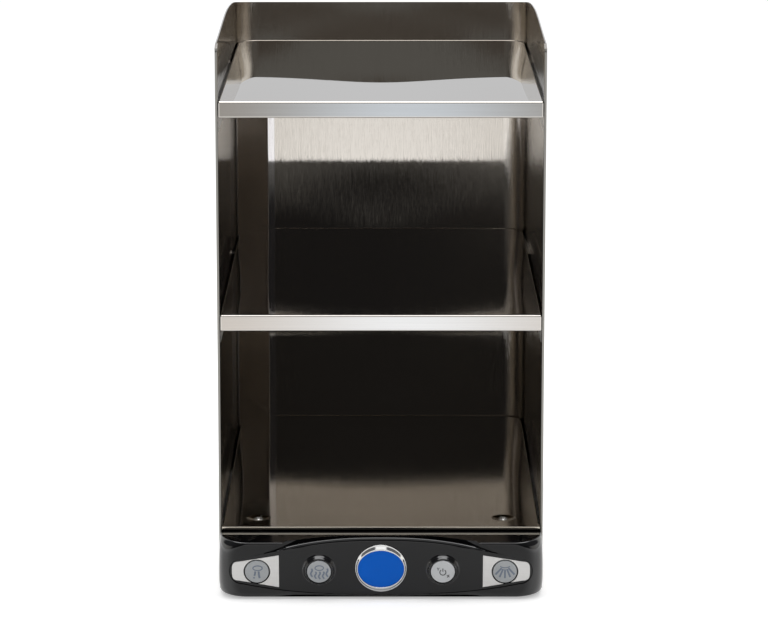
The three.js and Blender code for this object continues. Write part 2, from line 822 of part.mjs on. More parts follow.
// The places of the four buttons, from left to right
const buttons = [
  { x: -outerButtonX, y: -outerButtonDrop, stand: outerCapStand, collar: null },
  { x: -innerButtonX, y: innerButtonRise, stand: innerCapStand, collar: 'left' },
  { x: innerButtonX, y: innerButtonRise, stand: innerCapStand, collar: 'right' },
  { x: outerButtonX, y: -outerButtonDrop, stand: outerCapStand, collar: null },
];
const capBore = capRadius + boreClearance;

function endPlateShape(sign, grow) {
  const shape = new THREE.Shape();
  const top = endPlateShoulderTop + grow;
  const bottom = -endPlateShoulderBottom - grow;
  const shoulder = sign * endPlateShoulder;
  const tip = sign * (endPlateTip + grow);
  shape.moveTo(sign * (endPlateInner - grow), endPlateTop + grow);
  shape.lineTo(shoulder, top);
  shape.bezierCurveTo(tip, top, tip, endPlateShoulderTop / 2, tip, -endPlateMiddle);
  shape.bezierCurveTo(tip, -endPlateShoulderBottom / 2 - endPlateMiddle, tip, bottom, shoulder, bottom);
  shape.lineTo(sign * (endPlateInner - grow), -endPlateBottom - grow);
  shape.closePath();
  return shape;
}

function boreAt({ x, y }, radius, z0, z1) {
  return rod(radius, z0, z1, fineSegments).translate([x, y, 0]);
}

function buildPanel() {
  let panel = skinned([
    panelRing(-panelThickness, 1),
    panelRing(-panelBevelDepth, 1),
    panelRing(-panelBevelDepth * 0.32, 0.5),
    panelRing(0, 0),
  ], 'x', 'y');
  for (const sign of [-1, 1]) {
    const pocketFloor = -endPlateThickness - fitGap;
    panel = panel.subtract(prism(endPlateShape(sign, fitGap), pocketFloor, overrun));
  }
  for (const button of buttons) {
    const radius = button.collar ? collarSleeveRadius + fitGap : capBore;
    panel = panel.subtract(boreAt(button, radius, -panelThickness - overrun, overrun));
  }
  return panel.subtract(boreAt({ x: 0, y: badgeRise }, badgeRadius + fitGap, -badgeRecess, overrun));
}

add(face, 'control_panel', blackGloss, buildPanel());

for (const [side, sign] of [['left', -1], ['right', 1]]) {
  const button = buttons[sign < 0 ? 0 : 3];
  const plate = prism(endPlateShape(sign, 0), -endPlateThickness, 0);
  add(face, `end_plate_${side}`, silverPlate, plate.subtract(boreAt(button, capBore, -overrun, overrun)));
}

const boardFront = capFlangeThickness + seatDepth + seatWall + fitGap + stemLength + plungerLength;
const switchFront = boardFront - fitGap;

function buildMoulding() {
  const pocketRings = [panelRing(-seatDepth, 1, fitGap), panelRing(faceReach, 1, fitGap)];
  const pocket = skinned(pocketRings, 'x', 'y').transform(face.matrix.elements);
  let body = mouldingBody().subtract(mouldingCavity()).subtract(mouldingScoop()).subtract(pocket);
  for (const [x, z] of bossPlaces) {
    const boss = rod(bossRadius, fitGap - faceReach * 0.75, -fitGap, roundSegments);
    body = body.add(alongY(boss, x, z));
  }
  for (const [x, z] of bossPlaces) {
    const bore = rod(mouldingScrewRadius + screwClearance, -mouldingScrewLength, overrun, smallSegments);
    body = body.subtract(alongY(bore, x, z));
  }
  const boardSeat = switchFront + switchHeight + solderGap;
  for (const x of [-boardPegX, -boardPegMiddleX, boardPegMiddleX, boardPegX]) {
    for (const y of [-boardPegRise, boardPegRise]) {
      const post = rod(boardPostRadius, -boardSeat + solderGap, -seatDepth - seatWall / 2, smallSegments);
      const peg = rod(boardPegRadius, -boardSeat - boardPegLength, -seatDepth - seatWall, smallSegments);
      body = body.add(post.add(peg).translate([x, y, 0]).transform(face.matrix.elements));
    }
  }
  for (const button of buttons) {
    const bore = boreAt(button, capBore, -seatDepth - seatWall - overrun / 3, overrun);
    body = body.subtract(bore.transform(face.matrix.elements));
  }
  return body;
}

add(cabinet, 'front_moulding', blackGloss, buildMoulding());

// Raised collars round the two inner buttons
function collar() {
  const sleeveEnd = fitGap - panelThickness;
  return turned([
    [capBore, sleeveEnd],
    [collarSleeveRadius, sleeveEnd],
    [collarSleeveRadius, fitGap],
    [collarRootRadius, fitGap],
    [collarRootRadius, capEdge + fitGap],
    [(collarRootRadius + collarRimRadius) / 2, collarHeight * 0.72],
    [collarRimRadius, collarHeight * 0.96],
    [(collarRimRadius + capBore) / 2, collarHeight],
    [capBore, collarHeight - fitGap],
    [capBore, sleeveEnd],
  ], fineSegments);
}

// A cap with its flange, its stem and the plunger that goes into the switch
function cap(stand) {
  const flangeTop = -seatDepth - seatWall - fitGap;
  const flangeBottom = flangeTop - capFlangeThickness;
  const stemEnd = flangeBottom - stemLength;
  return turned([
    [0, stemEnd - plungerLength],
    [plungerRadius, stemEnd - plungerLength],
    [plungerRadius, stemEnd],
    [stemRadius, stemEnd],
    [stemRadius, flangeBottom],
    [capFlangeRadius, flangeBottom],
    [capFlangeRadius, flangeTop],
    [capRadius, flangeTop],
    [capRadius, stand - capEdge],
    [capRadius - capEdge / 3, stand - capEdge / 3],
    [capRadius - capEdge, stand],
    [capRadius / 2, stand + capCrown * 0.8],
    [0, stand + capCrown],
  ], fineSegments);
}

const buttonParts = buttons.map((button, i) => {
  if (button.collar) {
    add(face, `button_collar_${button.collar}`, blackGloss, collar().translate([button.x, button.y, 0]));
  }
  return add(face, `button_cap_${i + 1}`, greyCap, cap(button.stand).translate([button.x, button.y, 0]));
});

// Switches, the board that carries them and its connector
buttons.forEach((button, i) => {
  const half = switchSide / 2;
  const housing = block(-half, half, -half, half, -switchFront - switchHeight, -switchFront);
  const well = rod(switchWellRadius, -switchFront - switchWellDepth, overrun - switchFront, smallSegments);
  add(face, `switch_${i + 1}`, ceramic, housing.subtract(well).translate([button.x, button.y, 0]));
});

const boardTop = -switchFront - switchHeight - solderGap;

function buildBoard() {
  let board = block(-boardHalfLength, boardHalfLength, -boardHalfHeight, boardHalfHeight,
    boardTop - boardThickness, boardTop);
  for (const x of [-boardPegX, -boardPegMiddleX, boardPegMiddleX, boardPegX]) {
    for (const y of [-boardPegRise, boardPegRise]) {
      const hole = rod(boardPegRadius + screwClearance, boardTop - overrun, overrun, smallSegments);
      board = board.subtract(hole.translate([x, y, 0]));
    }
  }
  return board;
}

add(face, 'control_board', boardGreen, buildBoard());
const connectorTop = boardTop - boardThickness - solderGap;
add(face, 'board_connector', ceramic, block(
  leadHoleX - connectorLength / 2, leadHoleX + connectorLength / 2,
  -connectorHeight / 2, connectorHeight / 2, connectorTop - connectorDepth, connectorTop,
));

// Badge: a chrome ring with a plain domed disc in it
const badgeInner = badgeRadius - badgeRingWidth;
const badgeSeat = fitGap - badgeRecess;
add(face, 'badge_ring', chrome, turned([
  [badgeInner, badgeSeat],
  [badgeRadius, badgeSeat],
  [badgeRadius, badgeStand * 0.55],
  [badgeRadius - badgeRingWidth * 0.3, badgeStand * 0.92],
  [badgeRadius - badgeRingWidth * 0.6, badgeStand],
  [badgeInner, badgeStand * 0.8],
  [badgeInner, badgeSeat],
], fineSegments).translate([0, badgeRise, 0]));
add(face, 'badge_disc', blueLens, turned([
  [0, badgeSeat],
  [badgeInner - fitGap, badgeSeat],
  [badgeInner - fitGap, badgeDiscStand],
  [badgeInner * 0.75, badgeDiscStand + badgeDome * 0.47],
  [badgeInner * 0.4, badgeDiscStand + badgeDome * 0.86],
  [0, badgeDiscStand + badgeDome],
], fineSegments).translate([0, badgeRise, 0]));

// Screws through the pan's front wall into the moulding
bossPlaces.forEach(([x, z], i) => {
  const seat = panFrontGap + panSheet;
  const screw = turned([
    [0, seat - mouldingScrewLength],
    [mouldingScrewRadius, seat - mouldingScrewLength],
    [mouldingScrewRadius, seat],
    [mouldingScrewHeadRadius, seat],
    [mouldingScrewHeadRadius * 0.8, seat + mouldingScrewHeadHeight],
    [0, seat + mouldingScrewHeadHeight],
  ], smallSegments);
  add(cabinet, `moulding_screw_${i + 1}`, innerSteel, alongY(screw, x, z));
});

// Power unit, terminal block and mains inlet
function buildPowerUnit() {
  const x1 = powerX + powerLength / 2;
  const y1 = powerY + powerWidth / 2;
  const ribs = 7;
  let unit = block(x1 - powerLength, x1, y1 - powerWidth, y1, panFloor, panFloor + powerHeight);
  const pitch = powerLength / ribs;
  for (let i = 0; i < ribs; i += 1) {
    const x = x1 - powerLength + pitch * (i + 0.5);
    const slot = block(x - powerRib / 2, x + powerRib / 2, y1 - powerWidth + powerRib * 3,
      y1 - powerRib * 3, panFloor + powerHeight - powerRib, panFloor + powerHeight + overrun);
    unit = unit.subtract(slot);
  }
  return unit;
}

add(cabinet, 'power_unit', ceramic, buildPowerUnit());

function buildTerminals() {
  const x0 = terminalX - terminalLength / 2;
  const y0 = terminalY - terminalWidth / 2;
  const bays = 5;
  let strip = block(x0, x0 + terminalLength, y0, y0 + terminalWidth, panFloor, panFloor + terminalHeight);
  const pitch = terminalLength / bays;
  for (let i = 0; i < bays; i += 1) {
    const x = x0 + pitch * (i + 0.5);
    const bay = block(x - terminalBay / 2, x + terminalBay / 2, y0 - overrun, y0 + terminalWidth / 3,
      panFloor + terminalHeight - terminalBayDepth, panFloor + terminalHeight + overrun);
    strip = strip.subtract(bay);
  }
  return strip;
}

add(cabinet, 'terminal_block', felt, buildTerminals());

function buildInlet() {
  const centred = (width, height, y0, y1) => block(
    inletX - width / 2, inletX + width / 2, y0, y1, inletZ - height / 2, inletZ + height / 2,
  );
  const outside = cabinetDepth + inletFlangeThickness;
  const body = centred(inletWidth, inletHeight, outside - inletDepth, cabinetDepth + inletClearance);
  const flange = centred(inletFlangeWidth, inletFlangeHeight, cabinetDepth, outside);
  const cavityFloor = outside - inletCavityDepth;
  const cavity = centred(inletCavityWidth, inletCavityHeight, cavityFloor, outside + overrun);
  let inlet = body.add(flange).subtract(cavity);
  for (const place of [-1, 0, 1]) {
    const x = inletX + place * inletPinPitch;
    const z = inletZ + (place === 0 ? inletPinWidth : 0);
    inlet = inlet.add(block(x - inletPinWidth / 2, x + inletPinWidth / 2, cavityFloor - inletClearance,
      cavityFloor + inletPinLength, z - inletPinWidth, z + inletPinWidth));
  }
  return inlet;
}

add(cabinet, 'mains_inlet', ceramic, buildInlet());

// Wiring, as tubes along their routes
function wire(points, radius, steps) {
  const section = new THREE.Shape();
  for (let side = 0; side < wireSides; side += 1) {
    const turn = (side / wireSides) * Math.PI * 2;
    const method = side === 0 ? 'moveTo' : 'lineTo';
    section[method](radius * Math.cos(turn), radius * Math.sin(turn));
  }
  section.closePath();
  const route = new THREE.CatmullRomCurve3(points, false, 'centripetal');
  return toSolid(new THREE.ExtrudeGeometry(section, { steps, extrudePath: route, bevelEnabled: false }));
}

// The loom leaves the terminals, turns up in the rear left corner and ends under the tray
const ductX = ductWidth * 0.42 - halfWidth + wrapSheet;
const ductY = backInside - ductDepth * 0.36;
const loomLow = panFloor + terminalHeight / 2;
const connectorSeat = trayHeight - shelfSheet - trayConnectorHeight;
const loomStart = terminalX - terminalLength / 2 - wireGap;
const loomBend = loomRadius * 6;
add(cabinet, 'wiring_loom', ceramic, wire([
  new THREE.Vector3(loomStart, terminalY, loomLow),
  new THREE.Vector3(loomStart - loomRadius * 3, terminalY, loomLow),
  new THREE.Vector3(ductX + loomRadius, ductY - loomBend, loomLow + loomRadius),
  new THREE.Vector3(ductX, ductY, loomLow + loomBend),
  new THREE.Vector3(ductX, ductY, loomLow + loomBend * 2),
  new THREE.Vector3(ductX, ductY, (loomLow + connectorSeat) / 2),
  new THREE.Vector3(ductX, ductY, connectorSeat - loomBend),
  new THREE.Vector3(ductX, ductY, connectorSeat - wireGap),
], loomRadius, loomSteps));
add(cabinet, 'tray_connector', ceramic, block(
  ductX - trayConnectorSide / 2, ductX + trayConnectorSide / 2,
  ductY - trayConnectorSide / 2, ductY + trayConnectorSide / 2, connectorSeat, trayHeight - shelfSheet,
));

// The control lead goes from the board's connector through the pan's front wall to the power unit
const behindConnector = (distance) => new THREE.Vector3(
  leadHoleX, 0, connectorTop - connectorDepth - distance,
).applyMatrix4(face.matrix);
const powerFront = powerY - powerWidth / 2 - wireGap;
add(cabinet, 'control_lead', ceramic, wire([
  behindConnector(wireGap * 2),
  behindConnector(leadRadius * 2),
  new THREE.Vector3(leadHoleX, panFrontGap + panSheet, leadHoleZ),
  new THREE.Vector3(leadHoleX, panFrontGap + overrun * 3, leadHoleZ),
  new THREE.Vector3(leadHoleX, powerFront / 2, panFloor + leadRadius * 2),
  new THREE.Vector3(leadHoleX, powerFront - overrun * 3, panFloor + powerHeight / 2),
  new THREE.Vector3(leadHoleX, powerFront, panFloor + powerHeight / 2),
], leadRadius, leadSteps));

// The supply lead goes from the inlet to the terminals
const inletFront = cabinetDepth + inletFlangeThickness - inletDepth - wireGap;
const supplyY = powerY + powerWidth / 2 + overrun * 4;
add(cabinet, 'supply_lead', ceramic, wire([
  new THREE.Vector3(inletX, inletFront, inletZ),
  new THREE.Vector3(inletX, inletFront - overrun * 2, inletZ),
  new THREE.Vector3(inletX - overrun * 8, supplyY, panFloor + terminalHeight / 2),
  new THREE.Vector3(terminalX + terminalLength / 2 + overrun * 3, terminalY, panFloor + terminalHeight / 2),
  new THREE.Vector3(terminalX + terminalLength / 2 + wireGap, terminalY, panFloor + terminalHeight / 2),
], leadRadius, leadSteps));

// Rubber feet, each pushed into a hole of the pan by its barbed stem
for (const [name, x, y] of footPlaces) {
  const barb = panFloor + footClearance;
  add(cabinet, name, rubber, turned([
    [0, 0],
    [footRadius, 0],
    [footTopRadius, footDrop],
    [footStemRadius, footDrop],
    [footStemRadius, barb],
    [footBarbRadius, barb],
    [footStemRadius * 0.7, barb + footBarbHeight],
    [0, barb + footBarbHeight],
  ]).translate([x, y, 0]));
}

// The whole object, over its own bottom centre
const object = new THREE.Group();
object.name = 'cup_warmer';
object.add(cabinet);
const bounds = new THREE.Box3().setFromObject(cabinet, true);
const middle = bounds.getCenter(new THREE.Vector3());
cabinet.position.set(-middle.x, -middle.y, -bounds.min.z);

export default object;
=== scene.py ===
"""A countertop cup warmer: brushed steel cabinet with an open front, gloss black base front."""
import math

import bmesh
import bpy
from mathutils import Matrix, Vector


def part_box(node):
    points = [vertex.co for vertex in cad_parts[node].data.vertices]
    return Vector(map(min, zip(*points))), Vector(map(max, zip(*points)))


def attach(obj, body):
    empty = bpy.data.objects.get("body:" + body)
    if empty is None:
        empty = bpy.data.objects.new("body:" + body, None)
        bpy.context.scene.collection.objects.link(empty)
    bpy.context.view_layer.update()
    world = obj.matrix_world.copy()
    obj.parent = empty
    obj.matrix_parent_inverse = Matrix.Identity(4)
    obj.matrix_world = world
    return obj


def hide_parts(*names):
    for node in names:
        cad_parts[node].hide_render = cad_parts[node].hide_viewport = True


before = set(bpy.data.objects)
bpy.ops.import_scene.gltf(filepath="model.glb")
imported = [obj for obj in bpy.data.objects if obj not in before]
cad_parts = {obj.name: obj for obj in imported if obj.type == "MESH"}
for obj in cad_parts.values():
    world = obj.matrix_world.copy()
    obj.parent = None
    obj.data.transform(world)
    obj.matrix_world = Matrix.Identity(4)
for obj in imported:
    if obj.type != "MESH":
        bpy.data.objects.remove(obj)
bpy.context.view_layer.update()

MM = 0.001
CABINET = "cabinet"

# The cabinet, in millimetres. Depths are counted back from the front edges of the side walls.
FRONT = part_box("cabinet_wrap")[0].y / MM
HALF_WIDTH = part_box("cabinet_wrap")[1].x / MM
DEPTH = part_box("cabinet_wrap")[1].y / MM - FRONT
WRAP_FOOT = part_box("cabinet_wrap")[0].z / MM
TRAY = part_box("top_tray")[1].z / MM
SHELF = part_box("middle_shelf")[1].z / MM
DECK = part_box("lower_deck")[1].z / MM
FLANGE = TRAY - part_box("top_tray")[0].z / MM

# Camera: its place in millimetres, ahead of those edges, its tilt in degrees and its lens
CAMERA_X = 2.844
CAMERA_AHEAD = 3047.92
CAMERA_HEIGHT = 897.24
CAMERA_PITCH = 11.682
CAMERA_LENS = 159.375
SENSOR_WIDTH = 36.0


def at(x, depth, z):
    """A point of the cabinet in metres, from its place in millimetres behind the side walls' edges."""
    return Vector((x, FRONT + depth, z)) * MM


# Node helpers

MIX_FACTOR, MIX_LOW, MIX_HIGH, MIXED = 0, 6, 7, 2


def connect(tree, target, inputs):
    """Gives a node its inputs, where an input is a value or an output of another node."""
    for key, value in inputs.items():
        if isinstance(value, bpy.types.NodeSocket):
            tree.links.new(value, target.inputs[key])
        else:
            target.inputs[key].default_value = value


def node(tree, kind, inputs=None, **settings):
    made = tree.nodes.new(kind)
    for key, value in settings.items():
        setattr(made, key, value)
    connect(tree, made, inputs or {})
    return made


def maths(tree, operation, *values):
    return node(tree, "ShaderNodeMath", dict(enumerate(values)), operation=operation).outputs[0]


def product(tree, first, *others):
    for other in others:
        first = maths(tree, "MULTIPLY", first, other)
    return first


def remap(tree, value, low, high, to_low=0.0, to_high=1.0, smooth=False):
    kind = "SMOOTHSTEP" if smooth else "LINEAR"
    inputs = {"Value": value, "From Min": low, "From Max": high, "To Min": to_low, "To Max": to_high}
    return node(tree, "ShaderNodeMapRange", inputs, interpolation_type=kind).outputs[0]


def noise(tree, vector, scale, detail=2.0, roughness=0.5):
    inputs = {"Vector": vector, "Scale": scale, "Detail": detail, "Roughness": roughness}
    return node(tree, "ShaderNodeTexNoise", inputs).outputs["Fac"]


def relief(tree, height, depth):
    """The surface normal of a height map that is as deep as depth, in metres."""
    return node(tree, "ShaderNodeBump", {"Strength": 1.0, "Distance": depth, "Height": height}).outputs[0]


def blend_colour(tree, factor, low, high):
    """One colour fading into another, where a colour is (red, green, blue) or an output of a node."""
    low, high = (end if isinstance(end, bpy.types.NodeSocket) else (*end, 1.0) for end in (low, high))
    inputs = {MIX_FACTOR: factor, MIX_LOW: low, MIX_HIGH: high}
    return node(tree, "ShaderNodeMix", inputs, data_type="RGBA").outputs[MIXED]


def open_group(name, inputs, outputs):
    """A node group and its start, from (name, default) pairs. A default that is a tuple is a vector."""
    group = bpy.data.node_groups.new(name, "ShaderNodeTree")
    for label, default in inputs:
        kind = "NodeSocketVector" if isinstance(default, tuple) else "NodeSocketFloat"
        socket = group.interface.new_socket(label, in_out="INPUT", socket_type=kind)
        socket.default_value = default
    for label in outputs:
        kind = "NodeSocketVector" if label == "Normal" else "NodeSocketFloat"
        group.interface.new_socket(label, in_out="OUTPUT", socket_type=kind)
    return group, group.nodes.new("NodeGroupInput").outputs


def close_group(group, **outputs):
    """Gives a node group its outputs, and gives the group back."""
    connect(group, group.nodes.new("NodeGroupOutput"), outputs)
    return group


# Effects that several materials share. Noise scales are per metre.

ORIGIN = (0.0, 0.0, 0.0)
STEEL_CLOUDS = 9.0
SKIN_CLOUDS = 35.0
SKIN_SPECKS = 900.0
SPECK_BAND = (0.7, 0.8)
SAG_RISE = 0.0009
SAG_DROP = 0.0024
SAG_EDGE = 0.0016
SAG_EDGE_WIDTH = 30.0


def brushed_grain():
    """Long fine lines along one direction. Scale is how fine the noise is along X, Y and Z."""
    inputs = [("Vector", ORIGIN), ("Scale", (1.0, 1.0, 1.0)), ("Depth", 0.1)]
    group, start = open_group("brushed_grain", inputs, ["Lines", "Cloud", "Normal"])
    stretched = node(group, "ShaderNodeVectorMath", {0: start["Vector"], 1: start["Scale"]},
                     operation="MULTIPLY").outputs[0]
    lines = noise(group, stretched, 1.0, 3.0, 0.65)
    cloud = noise(group, start["Vector"], STEEL_CLOUDS)
    return close_group(group, Lines=lines, Cloud=cloud, Normal=relief(group, lines, start["Depth"]))


def moulded_skin():
    """The even fine grain and faint clouding of a moulded or painted surface."""
    inputs = [("Vector", ORIGIN), ("Grain", 2500.0), ("Depth", 0.1)]
    group, start = open_group("moulded_skin", inputs, ["Cloud", "Specks", "Normal"])
    grain = noise(group, start["Vector"], start["Grain"], 2.0, 0.6)
    cloud = noise(group, start["Vector"], SKIN_CLOUDS, 3.0, 0.6)
    specks = remap(group, noise(group, start["Vector"], SKIN_SPECKS, 1.0), *SPECK_BAND)
    return close_group(group, Cloud=cloud, Specks=specks, Normal=relief(group, grain, start["Depth"]))


def plate_sag():
    """How far a cabinet plate lies below its folded edges, in metres, deepest along its middle."""
    group, start = open_group("plate_sag", [("Vector", ORIGIN), ("Amount", 1.0)], ["Height"])
    place = node(group, "ShaderNodeSeparateXYZ", {0: start["Vector"]}).outputs
    across = maths(group, "COSINE", product(group, place["X"], math.pi / (2 * HALF_WIDTH * MM)))
    level = maths(group, "SUBTRACT", SAG_RISE, product(group, across, across, SAG_DROP))
    edge = remap(group, maths(group, "ABSOLUTE", place["X"]), (HALF_WIDTH - SAG_EDGE_WIDTH) * MM,
                 HALF_WIDTH * MM, 0.0, SAG_EDGE, smooth=True)
    level = maths(group, "SUBTRACT", level, edge)
    back = maths(group, "SUBTRACT", place["Y"], FRONT * MM)
    along = maths(group, "SINE", product(group, back, math.pi / (DEPTH * MM)))
    return close_group(group, Height=product(group, along, level, start["Amount"]))


GRAIN = brushed_grain()
SKIN = moulded_skin()
SAG = plate_sag()


# Materials

UPRIGHT_LINES = (2300.0, 2300.0, 22.0)
LEVEL_LINES = (22.0, 2300.0, 2300.0)
STRIP_LINES = (9.0, 900.0, 900.0)
EVEN_LINES = (900.0, 900.0, 900.0)
NOISE_BAND = (0.3, 0.7)
# Where the front strips' painted sheen is brightest, and how far out it fades
PAINTED_SHEEN_MIDDLE = 25.0
PAINTED_SHEEN_FADE = 185.0
STRIP_DARKEST = 0.93
PLASTIC_CONTRAST = 0.1


def blank_material(name):
    """A new material, its nodes, its shader and the place on the piece."""
    made = bpy.data.materials.new(name)
    made.use_nodes = True
    tree = made.node_tree
    place = tree.nodes.new("ShaderNodeTexCoord").outputs["Object"]
    return made, tree, tree.nodes["Principled BSDF"], place


def texture(tree, group, **inputs):
    return node(tree, "ShaderNodeGroup", inputs, node_tree=group).outputs


def tones(colour, contrast):
    """A darker and a lighter tone of a colour."""
    return [tuple(min(c * (1 + change), 1.0) for c in colour) for change in (-contrast, contrast)]


def clouded(tree, cloud, roughness, spread):
    """A roughness that wanders with a texture's clouds."""
    return remap(tree, cloud, *NOISE_BAND, max(roughness - spread / 2, 0.0), roughness + spread / 2)


def steel(name, colour, grain_scale, roughness, spread=0.05, depth=0.00002, contrast=0.08, metallic=1.0,
          sag=None):
    """Brushed metal. grain_scale is how fine the lines are along X, Y and Z, in lines per metre.

    A sag gives a large plate the hollow of thin sheet, as a share, instead of the relief of its lines.
    """
    made, tree, shader, place = blank_material(name)
    grain = texture(tree, GRAIN, Vector=place, Scale=grain_scale, Depth=depth)
    normal = grain["Normal"]
    if sag is not None:
        normal = relief(tree, texture(tree, SAG, Vector=place, Amount=sag)["Height"], 1.0)
    connect(tree, shader, {
        "Base Color": blend_colour(tree, grain["Lines"], *tones(colour, contrast)),
        "Roughness": clouded(tree, grain["Cloud"], roughness, spread),
        "Normal": normal,
        "Metallic": metallic,
    })
    return made


def strip_steel(name, middle, ends):
    """The folded front of a plate: level lines, and a painted sheen, a reflection painted into its colour,
    that fades from the middle to its ends.
    """
    made, tree, shader, place = blank_material(name)
    grain = texture(tree, GRAIN, Vector=place, Scale=STRIP_LINES, Depth=0.000004)
    across = node(tree, "ShaderNodeSeparateXYZ", {0: place}).outputs["X"]
    away = maths(tree, "ABSOLUTE", maths(tree, "SUBTRACT", across, PAINTED_SHEEN_MIDDLE * MM))
    # Painted reflection: the colour fades from the middle colour to the ends colour across the strip
    painted_sheen = blend_colour(tree, remap(tree, away, 0.0, PAINTED_SHEEN_FADE * MM, smooth=True), middle, ends)
    lines = remap(tree, grain["Lines"], *NOISE_BAND, STRIP_DARKEST, 1.0)
    tint = node(tree, "ShaderNodeVectorMath", {0: painted_sheen, "Scale": lines}, operation="SCALE").outputs[0]
    connect(tree, shader, {
        "Base Color": tint,
        "Roughness": clouded(tree, grain["Cloud"], 0.07, 0.04),
        "Normal": grain["Normal"],
        "Metallic": 1.0,
    })
    return made


def plastic(name, colour, roughness, grain=2500.0, depth=0.00001, speck_colour=None, lacquer=None,
            spread=0.05, specular=0.5):
    """Moulded plastic, rubber or felt, with a fine grain, faint clouds and a few specks.

    A lacquer is a clear layer that shows where the surface turns away, from one facing share to another.
    """
    made, tree, shader, place = blank_material(name)
    skin = texture(tree, SKIN, Vector=place, Grain=grain, Depth=depth)
    tint = blend_colour(tree, skin["Cloud"], *tones(colour, PLASTIC_CONTRAST))
    if speck_colour:
        tint = blend_colour(tree, skin["Specks"], tint, speck_colour)
    connect(tree, shader, {
        "Base Color": tint,
        "Roughness": clouded(tree, skin["Cloud"], roughness, spread),
        "Normal": skin["Normal"],
        "Specular IOR Level": specular,
    })
    if lacquer:
        facing = node(tree, "ShaderNodeLayerWeight", {"Blend": 0.5}).outputs["Facing"]
        connect(tree, shader, {"Coat Weight": remap(tree, facing, *lacquer, smooth=True)})
    return made


WRAP_STEEL = steel("wrap_steel", (0.62, 0.585, 0.54), UPRIGHT_LINES, 0.02, 0.02, depth=0.00012)
COVER_STEEL = steel("cover_steel", (0.75, 0.73, 0.73), UPRIGHT_LINES, 0.03, 0.02, depth=0.00004)
TRAY_STEEL = steel("tray_steel", (0.62, 0.59, 0.55), LEVEL_LINES, 0.012, 0.01, sag=1.0)
SHELF_STEEL = steel("shelf_steel", (0.62, 0.59, 0.55), LEVEL_LINES, 0.02, 0.01, sag=0.4)
DECK_STEEL = steel("deck_steel", (0.61, 0.565, 0.48), LEVEL_LINES, 0.05, 0.02, sag=0.4)
# A dark steel for the covers under the tray and shelf: painted shade, darker than their own steel
SHADED_UNDER_STEEL = steel("under_steel_painted_shade", (0.145, 0.118, 0.096), EVEN_LINES, 0.3)
# A darker steel for the wrap's front hems: a painted shade, dimmer than the wrap's own steel
SHADED_HEM_STEEL = steel("hem_steel_painted_shade", (0.25, 0.243, 0.225), UPRIGHT_LINES, 0.08)
# A near-black steel painted where shade falls: in the gaps beside the plates, under them and on the covers'
# front edges
SHADED_FLANGE_STEEL = steel("flange_painted_shade", (0.1, 0.095, 0.09), EVEN_LINES, 0.4)
INNER_STEEL = steel("rail_steel", (0.55, 0.55, 0.55), EVEN_LINES, 0.35)
SCREW_STEEL = steel("bright_steel", (0.92, 0.91, 0.88), EVEN_LINES, 0.2, metallic=0.85)
# The strips' paler, bluer middles fading to darker ends are a painted reflection
TRAY_STRIP = strip_steel("tray_strip_painted_sheen", (0.53, 0.56, 0.59), (0.29, 0.27, 0.245))
SHELF_STRIP = strip_steel("shelf_strip_painted_sheen", (0.69, 0.69, 0.69), (0.5, 0.46, 0.42))
SILVER_PLATE = steel("plate_silver", (0.77, 0.76, 0.745), LEVEL_LINES, 0.4, metallic=0.6)
CHROME = steel("ring_chrome", (0.88, 0.88, 0.87), EVEN_LINES, 0.08, 0.03, depth=0.0, contrast=0.02)
GLOSS_BLACK = plastic("gloss_black", (0.003, 0.003, 0.0034), 0.05, depth=0.0, lacquer=(0.03, 0.25),
                      spread=0.03, specular=0.4)
CAP_GREY = plastic("cap_grey", (0.375, 0.39, 0.4), 0.35)
CAP_PALE = plastic("cap_pale", (0.55, 0.56, 0.57), 0.35)
SIGN_GREY = plastic("sign_grey", (0.15, 0.18, 0.235), 0.4)
SIGN_DARK = plastic("sign_dark", (0.03, 0.032, 0.036), 0.4)
BADGE_BLUE = plastic("badge_blue", (0.002, 0.115, 0.58), 0.12, depth=0.0, specular=0.12)
HEATER_RED = plastic("heater_silicone", (0.45, 0.13, 0.06), 0.5)
FELT = plastic("pale_felt", (0.72, 0.7, 0.62), 0.95, grain=700.0, depth=0.0004)
DARK_PLASTIC = plastic("dark_plastic", (0.03, 0.03, 0.03), 0.5)
BOARD_GREEN = plastic("board_green", (0.01, 0.12, 0.04), 0.35, speck_colour=(0.6, 0.6, 0.58))
PALE_PLASTIC = plastic("pale_plastic", (0.65, 0.64, 0.58), 0.5)
CABLE_BLACK = plastic("cable_black", (0.02, 0.02, 0.02), 0.55)
FOOT_RUBBER = plastic("foot_rubber", (0.02, 0.02, 0.02), 0.8, grain=1500.0, depth=0.00005)


# Mesh helpers. Lengths are in millimetres until a piece is made.

BEVEL_ANGLE = math.radians(35)
SMOOTH_ANGLE = math.radians(32)
WELD = 0.000002
AXIS = 0.001
SPLINE_STEPS = 4
BEZIER_STEPS = 16
TRIM_BEVEL = 0.2


def add(name, data):
    made = bpy.data.objects.new(name, data)
    bpy.context.scene.collection.objects.link(made)
    return made


def settle(piece):
    """Applies the modifiers of a piece and shades it smooth up to the smoothing angle."""
    graph = bpy.context.evaluated_depsgraph_get()
    graph.update()
    mesh = bpy.data.meshes.new_from_object(piece.evaluated_get(graph))
    piece.modifiers.clear()
    piece.data = mesh
    mesh.shade_smooth()
    mesh.set_sharp_from_angle(angle=SMOOTH_ANGLE)
    return piece


